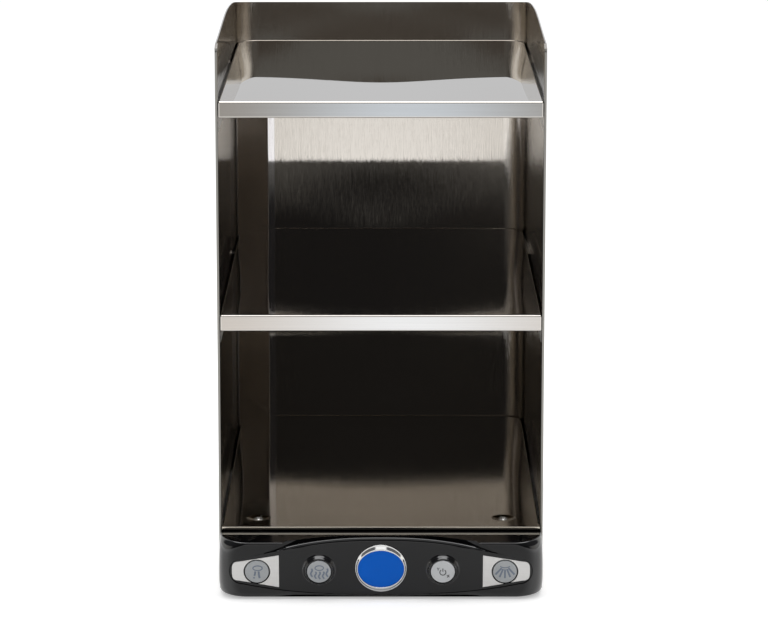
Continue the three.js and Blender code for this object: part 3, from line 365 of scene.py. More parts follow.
def build(name, shape, finish=None, matrix=None):
    """An object from points in millimetres and faces. Without a matrix the points are cabinet places."""
    points, faces = shape
    mesh = bpy.data.meshes.new(name)
    if matrix is None:
        corners = [at(*point) for point in points]
    else:
        corners = [matrix @ (Vector(point) * MM) for point in points]
    mesh.from_pydata(corners, [], faces)
    work = bmesh.new()
    work.from_mesh(mesh)
    bmesh.ops.remove_doubles(work, verts=work.verts, dist=WELD)
    bmesh.ops.recalc_face_normals(work, faces=work.faces)
    work.to_mesh(mesh)
    work.free()
    mesh.shade_smooth()
    mesh.set_sharp_from_angle(angle=SMOOTH_ANGLE)
    piece = add(name, mesh)
    if finish:
        mesh.materials.append(finish)
    return piece


def loft(rings, closed=True, caps=True):
    """Points and faces of a skin over rings of equal point counts."""
    count = len(rings[0])
    points = [point for ring in rings for point in ring]
    faces = []
    for ring in range(len(rings) - 1):
        for i in range(count if closed else count - 1):
            here, beside = ring * count + i, ring * count + (i + 1) % count
            faces.append((here, beside, beside + count, here + count))
    if caps:
        faces.append(tuple(reversed(range(count))))
        faces.append(tuple(range((len(rings) - 1) * count, len(rings) * count)))
    return points, faces


def lathe(profile, segments=64, centre=(0.0, 0.0)):
    """Points and faces of a turned body from (radius, height) pairs. A closed profile makes a ring."""
    turns = [math.tau * i / segments for i in range(segments)]
    rings = [[(centre[0] + radius * math.cos(turn), centre[1] + radius * math.sin(turn), height)
              for turn in turns] for radius, height in profile]
    return loft(rings, caps=profile[0] != profile[-1])


def rod(radius, low, high, centre):
    """Points and faces of a round bar."""
    return lathe([(AXIS, low), (radius, low), (radius, high), (AXIS, high)], centre=centre)


def quarter(steps):
    """The angles of a quarter turn in even steps."""
    return [math.radians(90 * i / steps) for i in range(steps + 1)]


def arc(cx, cy, radius, start, end, steps):
    """Points of an arc in a plane, from one angle in degrees to another."""
    turns = (math.radians(start + (end - start) * i / steps) for i in range(steps + 1))
    return [(cx + radius * math.cos(turn), cy + radius * math.sin(turn)) for turn in turns]


def spline(points, steps=SPLINE_STEPS):
    """Points of a smooth curve through the given ones."""
    found = []
    for i in range(len(points) - 1):
        p0, p1 = points[max(i - 1, 0)], points[i]
        p2, p3 = points[i + 1], points[min(i + 2, len(points) - 1)]
        for step in range(steps):
            t = step / steps
            found.append(tuple(
                0.5 * (2 * b + (c - a) * t + (2 * a - 5 * b + 4 * c - d) * t ** 2
                       + (3 * b - a - 3 * c + d) * t ** 3)
                for a, b, c, d in zip(p0, p1, p2, p3)))
    return found + [points[-1]]


def bezier(p0, p1, p2, p3):
    """Points of a curve between its two ends, drawn towards two others. The first end is left out."""
    found = []
    for step in range(1, BEZIER_STEPS + 1):
        t = step / BEZIER_STEPS
        weights = ((1 - t) ** 3, 3 * t * (1 - t) ** 2, 3 * t * t * (1 - t), t ** 3)
        found.append(tuple(sum(w * p[k] for w, p in zip(weights, (p0, p1, p2, p3))) for k in (0, 1)))
    return found


def smooth_share(value, low, high):
    """How far a value is from low to high, as a share that eases in and out."""
    t = min(max((value - low) / (high - low), 0.0), 1.0)
    return t * t * (3 - 2 * t)


def upright(outline, z0, z1):
    """Points and faces of a plan outline raised from z0 to z1."""
    return loft([[(x, y, z0) for x, y in outline], [(x, y, z1) for x, y in outline]])


def slab(x0, x1, y0, y1, z0, z1):
    return upright([(x0, y0), (x1, y0), (x1, y1), (x0, y1)], z0, z1)


def bevel(piece, width, segments=2, clamp=True):
    edge = piece.modifiers.new("edge", "BEVEL")
    edge.width = width * MM
    edge.segments = segments
    edge.limit_method = "ANGLE"
    edge.angle_limit = BEVEL_ANGLE
    edge.use_clamp_overlap = clamp
    return piece


def cut(piece, cutters, operation="DIFFERENCE"):
    """Cuts or joins other objects into a piece, and removes them."""
    for tool in cutters:
        step = piece.modifiers.new("cut", "BOOLEAN")
        step.operation = operation
        step.solver = "EXACT"
        step.object = tool
    settle(piece)
    for tool in cutters:
        bpy.data.objects.remove(tool)
    return piece


def merge(piece, others):
    """Adds the meshes of other objects to a piece as they are."""
    work = bmesh.new()
    for part in [piece, *others]:
        work.from_mesh(part.data)
    work.to_mesh(piece.data)
    work.free()
    for part in others:
        bpy.data.objects.remove(part)
    piece.data.set_sharp_from_angle(angle=SMOOTH_ANGLE)
    return piece


def paint(piece, finish, chosen):
    """Gives another finish to the faces of a piece that a test picks out."""
    piece.data.materials.append(finish)
    for face in piece.data.polygons:
        if chosen(face):
            face.material_index = len(piece.data.materials) - 1


def dress(piece, slot, *nodes, body=CABINET):
    """Gives a finished piece even shading and its body, and hides the CAD nodes that it stands for. Its slot
    is not used.
    """
    shading = piece.modifiers.new("even shading", "WEIGHTED_NORMAL")
    shading.keep_sharp = True
    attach(piece, body)
    if nodes:
        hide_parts(*nodes)


# Cabinet wrap

WRAP_SHEET = 1.2
WRAP_CORNER = 24.0
HEM_DEPTH = 12.0
GUARD_CORNER = 43.0
GUARD_ROUND = 8.0
GUARD_PEAK = 55.8
GUARD_REAR = 39.5
GUARD_STEPS = 10
GUARD_CROWN = ((0.16, 0.937), (0.45, 1.0), (0.64, 0.964), (0.82, 0.86))
CORNER_STEPS = 16
HEM_STEPS = 6
ROUND_STEPS = 8
EDGE_BEVEL = 0.3
SHEET_GAP = 0.3
STATION_GAP = 2.0
OPENING_RIM_X, OPENING_RIM_Z = 1.5, 1.6
OPENING_REACH = 9.0


def guard_line():
    """The guard's edge in side view, as (depth, height above the tray) pairs. Its crown is in shares."""
    front = [(GUARD_ROUND * t * t, GUARD_CORNER + GUARD_ROUND * (2 * t - t * t))
             for t in (step / ROUND_STEPS for step in range(ROUND_STEPS))]
    crown = [(DEPTH * depth, GUARD_PEAK * height) for depth, height in GUARD_CROWN]
    return front + spline([(GUARD_ROUND, GUARD_CORNER + GUARD_ROUND), *crown, (DEPTH, GUARD_REAR)],
                          GUARD_STEPS)


GUARD_LINE = guard_line()


def guard_height(depth):
    """The height of the wrap's edge at a depth."""
    depth = min(max(depth, 0.0), DEPTH)
    for (d0, h0), (d1, h1) in zip(GUARD_LINE, GUARD_LINE[1:]):
        if d0 <= depth <= d1:
            return TRAY + h0 + (h1 - h0) * (depth - d0) / max(d1 - d0, WELD)
    return TRAY + GUARD_REAR


def wrap_stations():
    """Pairs of outer and inner plan points, from the right front edge round the back to the left."""
    half = []
    hem = WRAP_SHEET
    for step in range(HEM_STEPS + 1):
        turn = math.radians(90 * (1 - step / HEM_STEPS))
        reach, y = hem * math.cos(turn), hem - hem * math.sin(turn)
        half.append(((HALF_WIDTH - hem + reach, y), (HALF_WIDTH - hem - reach, y)))
    half.append(((HALF_WIDTH, HEM_DEPTH), (HALF_WIDTH - 2 * hem, HEM_DEPTH)))
    turn_start = DEPTH - WRAP_CORNER
    between = [depth for depth, _ in GUARD_LINE if HEM_DEPTH < depth < turn_start - STATION_GAP]
    half += [((HALF_WIDTH, depth), (HALF_WIDTH - hem, depth)) for depth in (HEM_DEPTH, *between, turn_start)]
    centre = HALF_WIDTH - WRAP_CORNER
    outer = arc(centre, turn_start, WRAP_CORNER, 0, 90, CORNER_STEPS)
    inner = arc(centre, turn_start, WRAP_CORNER - hem, 0, 90, CORNER_STEPS)
    half += list(zip(outer, inner))[1:]
    mirrored = [((-o[0], o[1]), (-i[0], i[1])) for o, i in reversed(half)]
    return half + mirrored


def build_wrap():
    rings = []
    for outer, inner in wrap_stations():
        rings.append([(*outer, WRAP_FOOT), (*outer, guard_height(outer[1])),
                      (*inner, guard_height(inner[1])), (*inner, WRAP_FOOT)])
    wrap = build("cabinet_sheet", loft(rings), WRAP_STEEL)
    settle(bevel(wrap, EDGE_BEVEL))
    low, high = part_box("mains_inlet")
    cut(wrap, [build("opening", slab(low.x / MM + OPENING_RIM_X, high.x / MM - OPENING_RIM_X,
                                      DEPTH - OPENING_REACH, DEPTH + OPENING_REACH,
                                      low.z / MM + OPENING_RIM_Z, high.z / MM - OPENING_RIM_Z))])
    # The front hems take the painted shade
    paint(wrap, SHADED_HEM_STEEL, lambda face: face.center.y < at(0, WRAP_SHEET, 0).y)
    dress(wrap, "cabinet_steel", "cabinet_wrap")


build_wrap()


# Folded plates

PLATE_SHEET = 1.5
BEND = 1.9
FOLD = 1.3
PLATE_HALF = HALF_WIDTH - 2 * WRAP_SHEET - SHEET_GAP
PLATE_REAR = DEPTH - WRAP_SHEET - SHEET_GAP
PLATE_CORNER = WRAP_CORNER - WRAP_SHEET - SHEET_GAP
LIP = 9.0
FRONT_ROUND = 1.2
SHARP_ROUND = 0.05
BEND_STEPS = 5
SMALL_STEPS = 4
NOTCH_X, NOTCH_Y = 28.0, 40.0
HEM_THICK = 2.3
HEM_ROUND = 0.5
HEM_REACH = 10.0
FACES_FRONT, FACES_SIDE, FACES_DOWN = -0.99, 0.6, -0.9
STRIP_REACH = 0.5


def plate_outline(inset, notched, front, front_round):
    """A plate's plan from its left front corner round the back to its right front corner."""
    side, rear = PLATE_HALF - inset, PLATE_REAR - inset
    radius = PLATE_CORNER - inset
    first = front + (inset if front_round else 0.0)
    small = max(front_round - inset, SHARP_ROUND)
    if front_round:
        outline = arc(small - side, first + small, small, 270, 180, SMALL_STEPS)
    else:
        outline = [(-side, first)]
    if notched:
        slope = math.hypot(1 / NOTCH_X, 1 / NOTCH_Y)
        outline.append((-side, PLATE_REAR - NOTCH_Y - NOTCH_Y * inset * slope + inset * NOTCH_Y / NOTCH_X))
        outline.append((-PLATE_HALF + NOTCH_X * (inset * slope + 1 - inset / NOTCH_Y), rear))
    else:
        outline += arc(radius - side, rear - radius, radius, 180, 90, CORNER_STEPS)
    outline += arc(side - radius, rear - radius, radius, 90, 0, CORNER_STEPS)
    if front_round:
        return outline + arc(side - small, first + small, small, 0, -90, SMALL_STEPS)
    return outline + [(side, first)]


def plate_rings(top, notched, front=0.0, front_round=FRONT_ROUND):
    """Rings of a plate with its edges folded down, from the edge of its upper face to its lower one."""
    bottom = top - FLANGE
    rim = PLATE_SHEET * 0.2
    turns = quarter(BEND_STEPS)
    levels = [(BEND * (1 - math.sin(turn)), top - BEND * (1 - math.cos(turn))) for turn in turns]
    levels += [(FOLD * (1 - math.cos(turn)), bottom + FOLD * (1 - math.sin(turn))) for turn in turns]
    levels += [(PLATE_SHEET, bottom + rim), (PLATE_SHEET, top - PLATE_SHEET)]
    return [[(x, y, z) for x, y in plate_outline(inset, notched, front, front_round)]
            for inset, z in levels]


def is_shaded_side(face):
    """The under side of a plate, and its side flanges in the gap to the walls, which take a dark painted
    shade.
    """
    beside = abs(face.normal.x) > FACES_SIDE and abs(face.center.x) > (PLATE_HALF - BEND) * MM
    return beside or face.normal.z < FACES_DOWN


def build_plate(name, top, notched, cad_node, finish, strip):
    plate = build(name, loft(plate_rings(top, notched)), finish)
    bottom = top - FLANGE
    lips = [
        build("lip", slab(PLATE_SHEET - PLATE_HALF, PLATE_HALF - PLATE_SHEET, PLATE_SHEET, LIP,
                           bottom, bottom + PLATE_SHEET)),
        build("lip", slab(PLATE_CORNER + NOTCH_X / 3 - PLATE_HALF, PLATE_HALF - PLATE_CORNER,
                           PLATE_REAR - LIP, PLATE_REAR - PLATE_SHEET, bottom, bottom + PLATE_SHEET)),
    ]
    merge(plate, lips)
    # The front strips take their painted sheen
    paint(plate, strip,
          lambda face: face.normal.y < FACES_FRONT and face.center.y < at(0, STRIP_REACH, 0).y)
    # Painted shade on the plate's side flanges and under side
    paint(plate, SHADED_FLANGE_STEEL, is_shaded_side)
    dress(plate, "cabinet_steel", cad_node)


build_plate("tray_plate", TRAY, False, "top_tray", TRAY_STEEL, TRAY_STRIP)
build_plate("shelf_plate", SHELF, True, "middle_shelf", SHELF_STEEL, SHELF_STRIP)


# Deck with its two screws

DIMPLE_X = HALF_WIDTH - 35.3
DIMPLE_Y = 33.0
DIMPLE_RADIUS = 10.3
DIMPLE_FLOOR = 5.4
DIMPLE_DEPTH = 1.8
DIMPLE_BLEND = 1.2
DIMPLE_HOLE = 2.2
DIMPLE_STEPS = 5
DIMPLE_CUT = 5.0
SCREW_RADIUS = 4.2
SCREW_HEIGHT = 2.1
SCREW_RIM = 0.35
SCREW_SHAFT = 2.0
SCREW_LENGTH = 12.0
SCREW_POINT_X, SCREW_POINT_Z = 0.3, 0.5
SCREW_SQUARENESS = 0.55
SCREW_BEVEL = 0.08
SCREW_STEPS = 48
CROSS_SLOT = (0.42, 1.9)
CROSS_FLOOR, CROSS_TOP = 0.9, 5.0


def dimple_profile():
    """The drawn dimple in section, from its rim to its hole and back along the under side."""
    rim, low = DIMPLE_RADIUS + DIMPLE_BLEND, DECK - DIMPLE_DEPTH
    upper = spline([(rim, DECK), (DIMPLE_RADIUS - 0.2, DECK - 0.22), (DIMPLE_FLOOR + 1.6, low + 0.45),
                    (DIMPLE_FLOOR - 0.8, low), (DIMPLE_HOLE, low)],
                   DIMPLE_STEPS)
    under = [(radius, height - PLATE_SHEET) for radius, height in reversed(upper)]
    return upper + under + [upper[0]]


def build_deck():
    rings = plate_rings(DECK, True, HEM_REACH, 0.0)
    points, faces = loft(rings, closed=False)
    count = len(rings[0])
    ends = [tuple(ring * count + k for ring in range(len(rings))) for k in (0, count - 1)]
    deck = build("deck_plate", (points, faces + ends), DECK_STEEL)
    places = [(sign * DIMPLE_X, DIMPLE_Y) for sign in (-1, 1)]
    cut(deck, [build("hole", rod(DIMPLE_RADIUS + DIMPLE_BLEND, DECK - DIMPLE_CUT, DECK + DIMPLE_CUT, place))
               for place in places])
    low = DECK - HEM_THICK + HEM_ROUND
    section = [(HEM_REACH, DECK)] + arc(HEM_ROUND, DECK - HEM_ROUND, HEM_ROUND, 90, 180, SMALL_STEPS)
    section += arc(HEM_ROUND, low, HEM_ROUND, 180, 270, SMALL_STEPS) + [(HEM_REACH, DECK - HEM_THICK)]
    hem = build("hem", loft([[(x, y, z) for y, z in section] for x in (-PLATE_HALF, PLATE_HALF)]))
    merge(deck, [hem, *(build("dimple", lathe(dimple_profile(), centre=place)) for place in places)])
    # Painted shade on the deck's side flanges and under side
    paint(deck, SHADED_FLANGE_STEEL, is_shaded_side)
    dress(deck, "cabinet_steel", "lower_deck")


def build_deck_screw(side, x, y):
    seat = DECK - DIMPLE_DEPTH
    end = seat - SCREW_LENGTH
    dome = [(SCREW_RADIUS * math.cos(turn) ** SCREW_SQUARENESS,
             seat + SCREW_RIM + (SCREW_HEIGHT - SCREW_RIM) * math.sin(turn))
            for turn in quarter(ROUND_STEPS)[:-1]]
    profile = [(AXIS, end), (SCREW_SHAFT - SCREW_POINT_X, end), (SCREW_SHAFT, end + SCREW_POINT_Z),
               (SCREW_SHAFT, seat), (SCREW_RADIUS, seat), *dome, (AXIS, seat + SCREW_HEIGHT)]
    screw = build(f"deck_screw_head_{side}", lathe(profile, SCREW_STEPS, (x, y)), SCREW_STEEL)
    slots = [build("slot", slab(x - a, x + a, y - b, y + b, seat + CROSS_FLOOR, seat + CROSS_TOP))
             for a, b in (CROSS_SLOT, reversed(CROSS_SLOT))]
    settle(bevel(cut(screw, slots), SCREW_BEVEL, 1))
    dress(screw, "screw_steel", f"deck_screw_{side}")


build_deck()
build_deck_screw("left", -DIMPLE_X, DIMPLE_Y)
build_deck_screw("right", DIMPLE_X, DIMPLE_Y)


# Cable covers

COVER_SHEET = 1.0
COVER_BEND = 1.6
COVER_WIDTH, COVER_DEPTH, COVER_FLANGE = 31.0, 43.0, 7.0
COVER_EDGE_FACES, COVER_EDGE = -0.7, 0.2


def bent_strip(path, radius, thickness, steps=6):
    """A strip of sheet in plan along a path with rounded bends. The sheet lies to the path's left."""
    line = [Vector(path[0])]
    for before, corner, after in zip(path, path[1:], path[2:]):
        corner = Vector(corner)
        back, ahead = (Vector(before) - corner).normalized(), (Vector(after) - corner).normalized()
        half = back.angle(ahead) / 2
        reach = radius / math.tan(half)
        start, end = corner + back * reach, corner + ahead * reach
        centre = corner + (back + ahead).normalized() * radius / math.sin(half)
        first, last = start - centre, end - centre
        sweep = first.angle_signed(last)
        for step in range(steps + 1):
            turn = -sweep * step / steps
            line.append(centre + Vector((first.x * math.cos(turn) - first.y * math.sin(turn),
                                         first.x * math.sin(turn) + first.y * math.cos(turn))))
    line.append(Vector(path[-1]))
    left = []
    for i, point in enumerate(line):
        along = (line[min(i + 1, len(line) - 1)] - line[max(i - 1, 0)]).normalized()
        left.append(point + Vector((-along.y, along.x)) * thickness)
    return [tuple(p) for p in line] + [tuple(p) for p in reversed(left)]


def build_cable_cover(name, cad_node, z0, z1):
    wall = SHEET_GAP - HALF_WIDTH + WRAP_SHEET + COVER_SHEET
    back = DEPTH - WRAP_SHEET - SHEET_GAP - COVER_SHEET
    start = DEPTH - WRAP_SHEET - COVER_DEPTH
    end = COVER_WIDTH - HALF_WIDTH + WRAP_SHEET
    path = [(wall, start - COVER_FLANGE), (wall, start), (end, back), (end + COVER_FLANGE, back)]
    cover = build(name, upright(bent_strip(path, COVER_BEND, COVER_SHEET), z0, z1), COVER_STEEL)
    settle(bevel(cover, TRIM_BEVEL))
    # The cover's front edge takes the painted shade of the flanges
    paint(cover, SHADED_FLANGE_STEEL,
          lambda face: face.normal.y < COVER_EDGE_FACES and face.center.x < at(wall + COVER_EDGE, 0, 0).x)
    dress(cover, "cabinet_steel", cad_node)


build_cable_cover("upper_corner_cover", "upper_cable_cover", SHELF, TRAY - FLANGE)
build_cable_cover("lower_corner_cover", "lower_cable_cover", DECK, SHELF - FLANGE)


# The leaning front: places on it are (across, up, out) in millimetres from the badge row's middle

FACE_LEAN = 9.0
FACE_REACH = 29.0
FACE_HEIGHT = 29.0
FACE = Matrix.Translation(at(0, -FACE_REACH, FACE_HEIGHT)) @ Matrix.Rotation(
    math.radians(90 + FACE_LEAN), 4, "X")
FIT = 0.3
PANEL_THICKNESS = 3.8
PANEL_BEVEL = 3.0
PANEL_END = HALF_WIDTH - 22.0
PANEL_END_RADIUS = 10.5
PANEL_EDGE = 1.2
PANEL_ROUND = 0.3
PANEL_GAP = 0.1
PANEL_STEPS = 72
PANEL_END_STEPS = 22
POCKET_TOP = 24.0
CLEAR = 6.0
ARCH_REACH = HALF_WIDTH - 41.0
ARCH = (32.4, 16.4, ARCH_REACH, 2.4)
FACE_TOP = (28.2, 13.6, HALF_WIDTH - 37.0, 1.9)
FACE_BOTTOM = (-23.2, -12.0, HALF_WIDTH - 18.0, 2.6)


def on_face(name, shape, finish=None):
    """A piece from points and faces that are places on the leaning front."""
    return build(name, shape, finish, FACE)


def face_hole(centre, radius, low=-12.0, high=8.0):
    return on_face("hole", rod(radius, low, high, centre))


def bow(curve, u):
    """A curve's height at a distance across: its middle, less its drop times a power of the distance."""
    middle, drop, reach, power = curve
    return middle - drop * (abs(u) / reach) ** power


def panel_ring(height, spread, grow=0.0):
    """One outline of the panel, from its flat face at zero spread to its foot at full spread."""
    edge = PANEL_EDGE * (1 - PANEL_ROUND * (1 - spread))

    def top(u):
        flat = bow(FACE_TOP, u)
        return flat + max(spread * (bow(ARCH, u) - flat), edge) + grow

    def bottom(u):
        return bow(FACE_BOTTOM, u) - edge - grow

    def end(sign, rise_sign):
        high, low = top(PANEL_END), bottom(PANEL_END)
        radius = PANEL_END_RADIUS + edge + grow
        for step in range(1, PANEL_END_STEPS):
            turn = math.pi * step / PANEL_END_STEPS - math.pi / 2
            yield (sign * (PANEL_END + radius * math.cos(turn)),
                   (high + low) / 2 + rise_sign * math.sin(turn) * (high - low) / 2, height)

    across = [PANEL_END * (2 * i / PANEL_STEPS - 1) for i in range(PANEL_STEPS + 1)]
    points = [(u, bottom(u), height) for u in across]
    points += list(end(1, 1))
    points += [(u, top(u), height) for u in reversed(across)]
    return points + list(end(-1, -1))


# Front moulding

MOULDING_LIFT = 3.8
LEDGE = DECK - 6.1
# From foot to ledge: share of the height, end inset, reach, corner radius, share of the corner drop
MOULDING_LEVELS = [
    (0, 4.0, 23.4, 23, 1),
    (0.056, 1.0, 25.8, 21, 0.9),
    (0.225, 0, 27.7, 18, 0.5),
    (0.487, 0.2, 30.2, 16, 0.1),
    (0.73, 0.6, 32.0, 17, 0.02),
    (0.9, 1, 33, 21, 0.01),
    (0.98, 1.5, 33, 26, 0.01),
    (1, 2.2, 32.1, 27, 0.01),
]
CORNER_DROP = 1.6
DROP_INSET = 52.0
DROP_RUN = 16.0
SEAT = PANEL_THICKNESS + FIT
SEAT_WALL = 2.5
LEDGE_WALL = 2.5
MOULDING_ROUND = 0.25
LEDGE_RISE = 2.3
LEDGE_RISE_SHARES = (0.5, 1.0)
LEDGE_NARROW = 13.6
LEDGE_LIP = 30.8
LEDGE_BOW = (36.0, HALF_WIDTH - 44.0)
SCOOP_RUN = 26.0
SCOOP_DEPTH = 8.4
SCOOP_TIP_DEPTH = 2.0
SCOOP_OVERSHOOT = 0.6
SCOOP_LIFT, SCOOP_LIFT_START = 0.4, 0.8
SCOOP_STEPS = 72
FRONT_STEPS = 28
CAVITY_SHOULDER = 44.5
CAVITY_CORNER = 12.0
CAVITY_REACH = 11.5
CAVITY_BACK = -1.0
CAVITY_STEPS = 8


def moulding_ring(z, half, reach, radius, drop=0.0, back=0.0, corner_steps=14):
    """The moulding's plan at a height, which drops towards its two ends."""
    points = [(-half, -back, z)]
    points += [(x, -y, z) for x, y in arc(radius - half, reach - radius, radius, 180, 90, corner_steps)]
    inner = half - radius
    points += [(-inner + inner * 2 * i / FRONT_STEPS, -reach, z) for i in range(1, FRONT_STEPS)]
    points += [(-x, y, z) for x, y, _ in reversed(points[:corner_steps + 2])]
    edge = HALF_WIDTH - DROP_INSET
    return [(x, y, z - drop * smooth_share(abs(x), edge - DROP_RUN, edge)) for x, y, z in points]


def moulding_body():
    rings = []
    for share, inset, reach, radius, drop in spline(MOULDING_LEVELS):
        z = MOULDING_LIFT + (LEDGE - MOULDING_LIFT) * share
        ring = moulding_ring(z, HALF_WIDTH - max(inset, 0.0), reach, radius, CORNER_DROP * drop)
        rise = LEDGE_RISE * smooth_share(share, *LEDGE_RISE_SHARES)
        rings.append([(x, y, height + rise * (1 + y / reach)) for x, y, height in ring])
    return build("front_body", loft(rings), GLOSS_BLACK)


def face_at(z, depth):
    """How far forward the leaning face is at a height, or a plane at a depth behind it."""
    lean = math.radians(FACE_LEAN)
    return FACE_REACH + (z - FACE_HEIGHT) * math.tan(lean) - depth / math.cos(lean)


def moulding_cavity():
    half = HALF_WIDTH - LEDGE_WALL - MOULDING_LEVELS[-1][1]
    cavities = []
    for low, high, leaning in ((MOULDING_LIFT - CLEAR, CAVITY_SHOULDER, True),
                               (CAVITY_SHOULDER - FIT, LEDGE - LEDGE_WALL, False)):
        rings = []
        for z in (low, high):
            reach = face_at(z, SEAT + SEAT_WALL) if leaning else CAVITY_REACH
            rings.append(moulding_ring(z, half, reach, min(CAVITY_CORNER, reach), back=CAVITY_BACK,
                                       corner_steps=CAVITY_STEPS))
        cavities.append(build("cavity", loft(rings)))
    return cavities


def ledge_front(x):
    """How far forward the ledge reaches behind the arch."""
    return LEDGE_NARROW + (LEDGE_LIP - LEDGE_NARROW) * smooth_share(abs(x), *LEDGE_BOW)


def arch_height(x):
    return FACE_HEIGHT + bow(ARCH, x) * math.cos(math.radians(FACE_LEAN))


def moulding_scoop():
    """What lies in front of the ledge's curved edge, above the panel: the two crescents."""
    front, tip = FACE_REACH + 2 * CLEAR, arch_height(ARCH_REACH)
    rings = []
    for step in range(SCOOP_STEPS + 1):
        x = ARCH_REACH * (2 * step / SCOOP_STEPS - 1)
        floor = max(arch_height(x) - SCOOP_DEPTH, tip - SCOOP_TIP_DEPTH)
        inward = ARCH_REACH - abs(x)
        climb = 1 - (1 - min(inward / SCOOP_RUN, 1.0)) ** 2
        top = tip + (LEDGE - tip + SCOOP_OVERSHOOT) * climb
        top += SCOOP_LIFT * max(inward - SCOOP_RUN * SCOOP_LIFT_START, 0.0)
        top = min(top, LEDGE + CLEAR)
        back = min(ledge_front(x), front - CLEAR)
        rings.append([(x, -front, floor), (x, -back, floor), (x, -back, top), (x, -front, top)])
    return build("scoop", loft(rings))


# Buttons: the middle of each on the leaning front, and how far its cap stands out

OUTER_BUTTON = HALF_WIDTH - 35.7
INNER_BUTTON = HALF_WIDTH * 0.38
BUTTONS = [(-OUTER_BUTTON, -1.3, 0.4), (-INNER_BUTTON, 0.6, 4.6), (INNER_BUTTON, 0.6, 4.6),
           (OUTER_BUTTON, -1.3, 0.4)]
CAP_RADIUS = 11.0
CAP_BORE = 11.7
CAP_ROUND = 0.6
CAP_DOME = 0.3
CAP_CROWN = ((8.0, 0.1), (5.0, 0.22), (2.5, 0.28), (AXIS, CAP_DOME))
CAP_STEPS = 6
TURNED_STEPS = 96
CAP_FLANGE_RADIUS = 12.8
CAP_FLANGE = 1.5
STEM_RADIUS, STEM_LENGTH = 3.0, 1.9
PLUNGER_RADIUS, PLUNGER_LENGTH = 1.75, 2.2
SLEEVE_RADIUS = 13.0
COLLAR_CROWN = [(15.6, 0.0), (15.2, 0.25), (14.7, 0.7), (14.2, 1.4), (13.7, 2.3), (13.2, 3.3),
                (12.7, 4.05), (12.25, 4.4), (CAP_BORE, 4.2)]


def build_moulding():
    """The moulding, hollow behind, with the panel's seat and the bores of the caps cut into it."""
    body = moulding_body()
    cutters = moulding_cavity() + [moulding_scoop()]
    cutters.append(on_face("pocket", loft([panel_ring(z, 1, PANEL_GAP) for z in (-SEAT, POCKET_TOP)])))
    cutters += [face_hole((x, y), CAP_BORE) for x, y, _ in BUTTONS]
    cut(body, cutters)
    settle(bevel(body, MOULDING_ROUND, clamp=False))
    dress(body, "black_moulding", "front_moulding")


build_moulding()


# Panel, with the outline of its silver end plates and the place of its badge

END_PLATE_INNER = HALF_WIDTH - 56.0
END_PLATE_SHOULDER = HALF_WIDTH - 19.0
END_PLATE_TIP = HALF_WIDTH - 12.7
END_PLATE_TOP, END_PLATE_BOTTOM = 15.1, -17.0
SHOULDER_TOP, SHOULDER_BOTTOM = 8.8, -10.2
END_PLATE_THICK = 1.2
END_PLATE_NOSE = -0.8
END_PLATE_HOLE = CAP_BORE + 0.6
BADGE_UP = 2.4
BADGE_RADIUS = 23.6
BADGE_WINDOW_X = 21.4
BADGE_WINDOW_Y = 18.5
BADGE_RECESS = 1.2


def end_plate_outline(sign, grow=0.0):
    top, bottom = SHOULDER_TOP + grow, SHOULDER_BOTTOM - grow
    shoulder, tip = END_PLATE_SHOULDER, END_PLATE_TIP + grow
    nose = (tip, END_PLATE_NOSE)
    outline = [(END_PLATE_INNER - grow, END_PLATE_TOP + grow), (shoulder, top)]
    outline += bezier((shoulder, top), (tip, top), (tip, SHOULDER_TOP / 2), nose)
    outline += bezier(nose, (tip, SHOULDER_BOTTOM / 2 + END_PLATE_NOSE), (tip, bottom), (shoulder, bottom))
    outline.append((END_PLATE_INNER - grow, END_PLATE_BOTTOM - grow))
    return [(sign * x, y) for x, y in outline]


def build_panel():
    levels = [(-PANEL_THICKNESS, 1.0), (-PANEL_BEVEL, 1.0)]
    levels += [(-PANEL_BEVEL * (1 - math.sin(turn)), math.cos(turn)) for turn in quarter(ROUND_STEPS)[1:]]
    panel = on_face("panel_face", loft([panel_ring(z, spread) for z, spread in levels]), GLOSS_BLACK)
    cutters = [on_face("pocket", upright(end_plate_outline(sign, FIT), -END_PLATE_THICK - FIT, CLEAR))
               for sign in (-1, 1)]
    cutters += [face_hole((x, y), CAP_BORE if stand < 1 else SLEEVE_RADIUS + FIT) for x, y, stand in BUTTONS]
    cutters.append(face_hole((0, BADGE_UP), BADGE_RADIUS + FIT, low=-BADGE_RECESS))
    cut(panel, cutters)
    settle(bevel(panel, TRIM_BEVEL))
    dress(panel, "black_moulding", "control_panel")


build_panel()


# What sits in the panel: end plates, collars and caps

def build_end_plate(side, sign, button):
    shape = upright(end_plate_outline(sign), -END_PLATE_THICK, 0.0)
    plate = on_face(f"{side}_end_plate", shape, SILVER_PLATE)
    cut(plate, [face_hole(button[:2], END_PLATE_HOLE)])
    settle(bevel(plate, TRIM_BEVEL))
    dress(plate, "silver_plate", f"end_plate_{side}")


build_end_plate("left", -1, BUTTONS[0])
build_end_plate("right", 1, BUTTONS[3])


def build_collar(side, button):
    low = FIT - PANEL_THICKNESS
    profile = [(CAP_BORE, low), (SLEEVE_RADIUS, low), (SLEEVE_RADIUS, 0.0), *spline(COLLAR_CROWN),
               (CAP_BORE, low)]
    collar = on_face(f"{side}_collar", lathe(profile, TURNED_STEPS, button[:2]), GLOSS_BLACK)
    dress(collar, "black_moulding", f"button_collar_{side}")


build_collar("left", BUTTONS[1])
build_collar("right", BUTTONS[2])


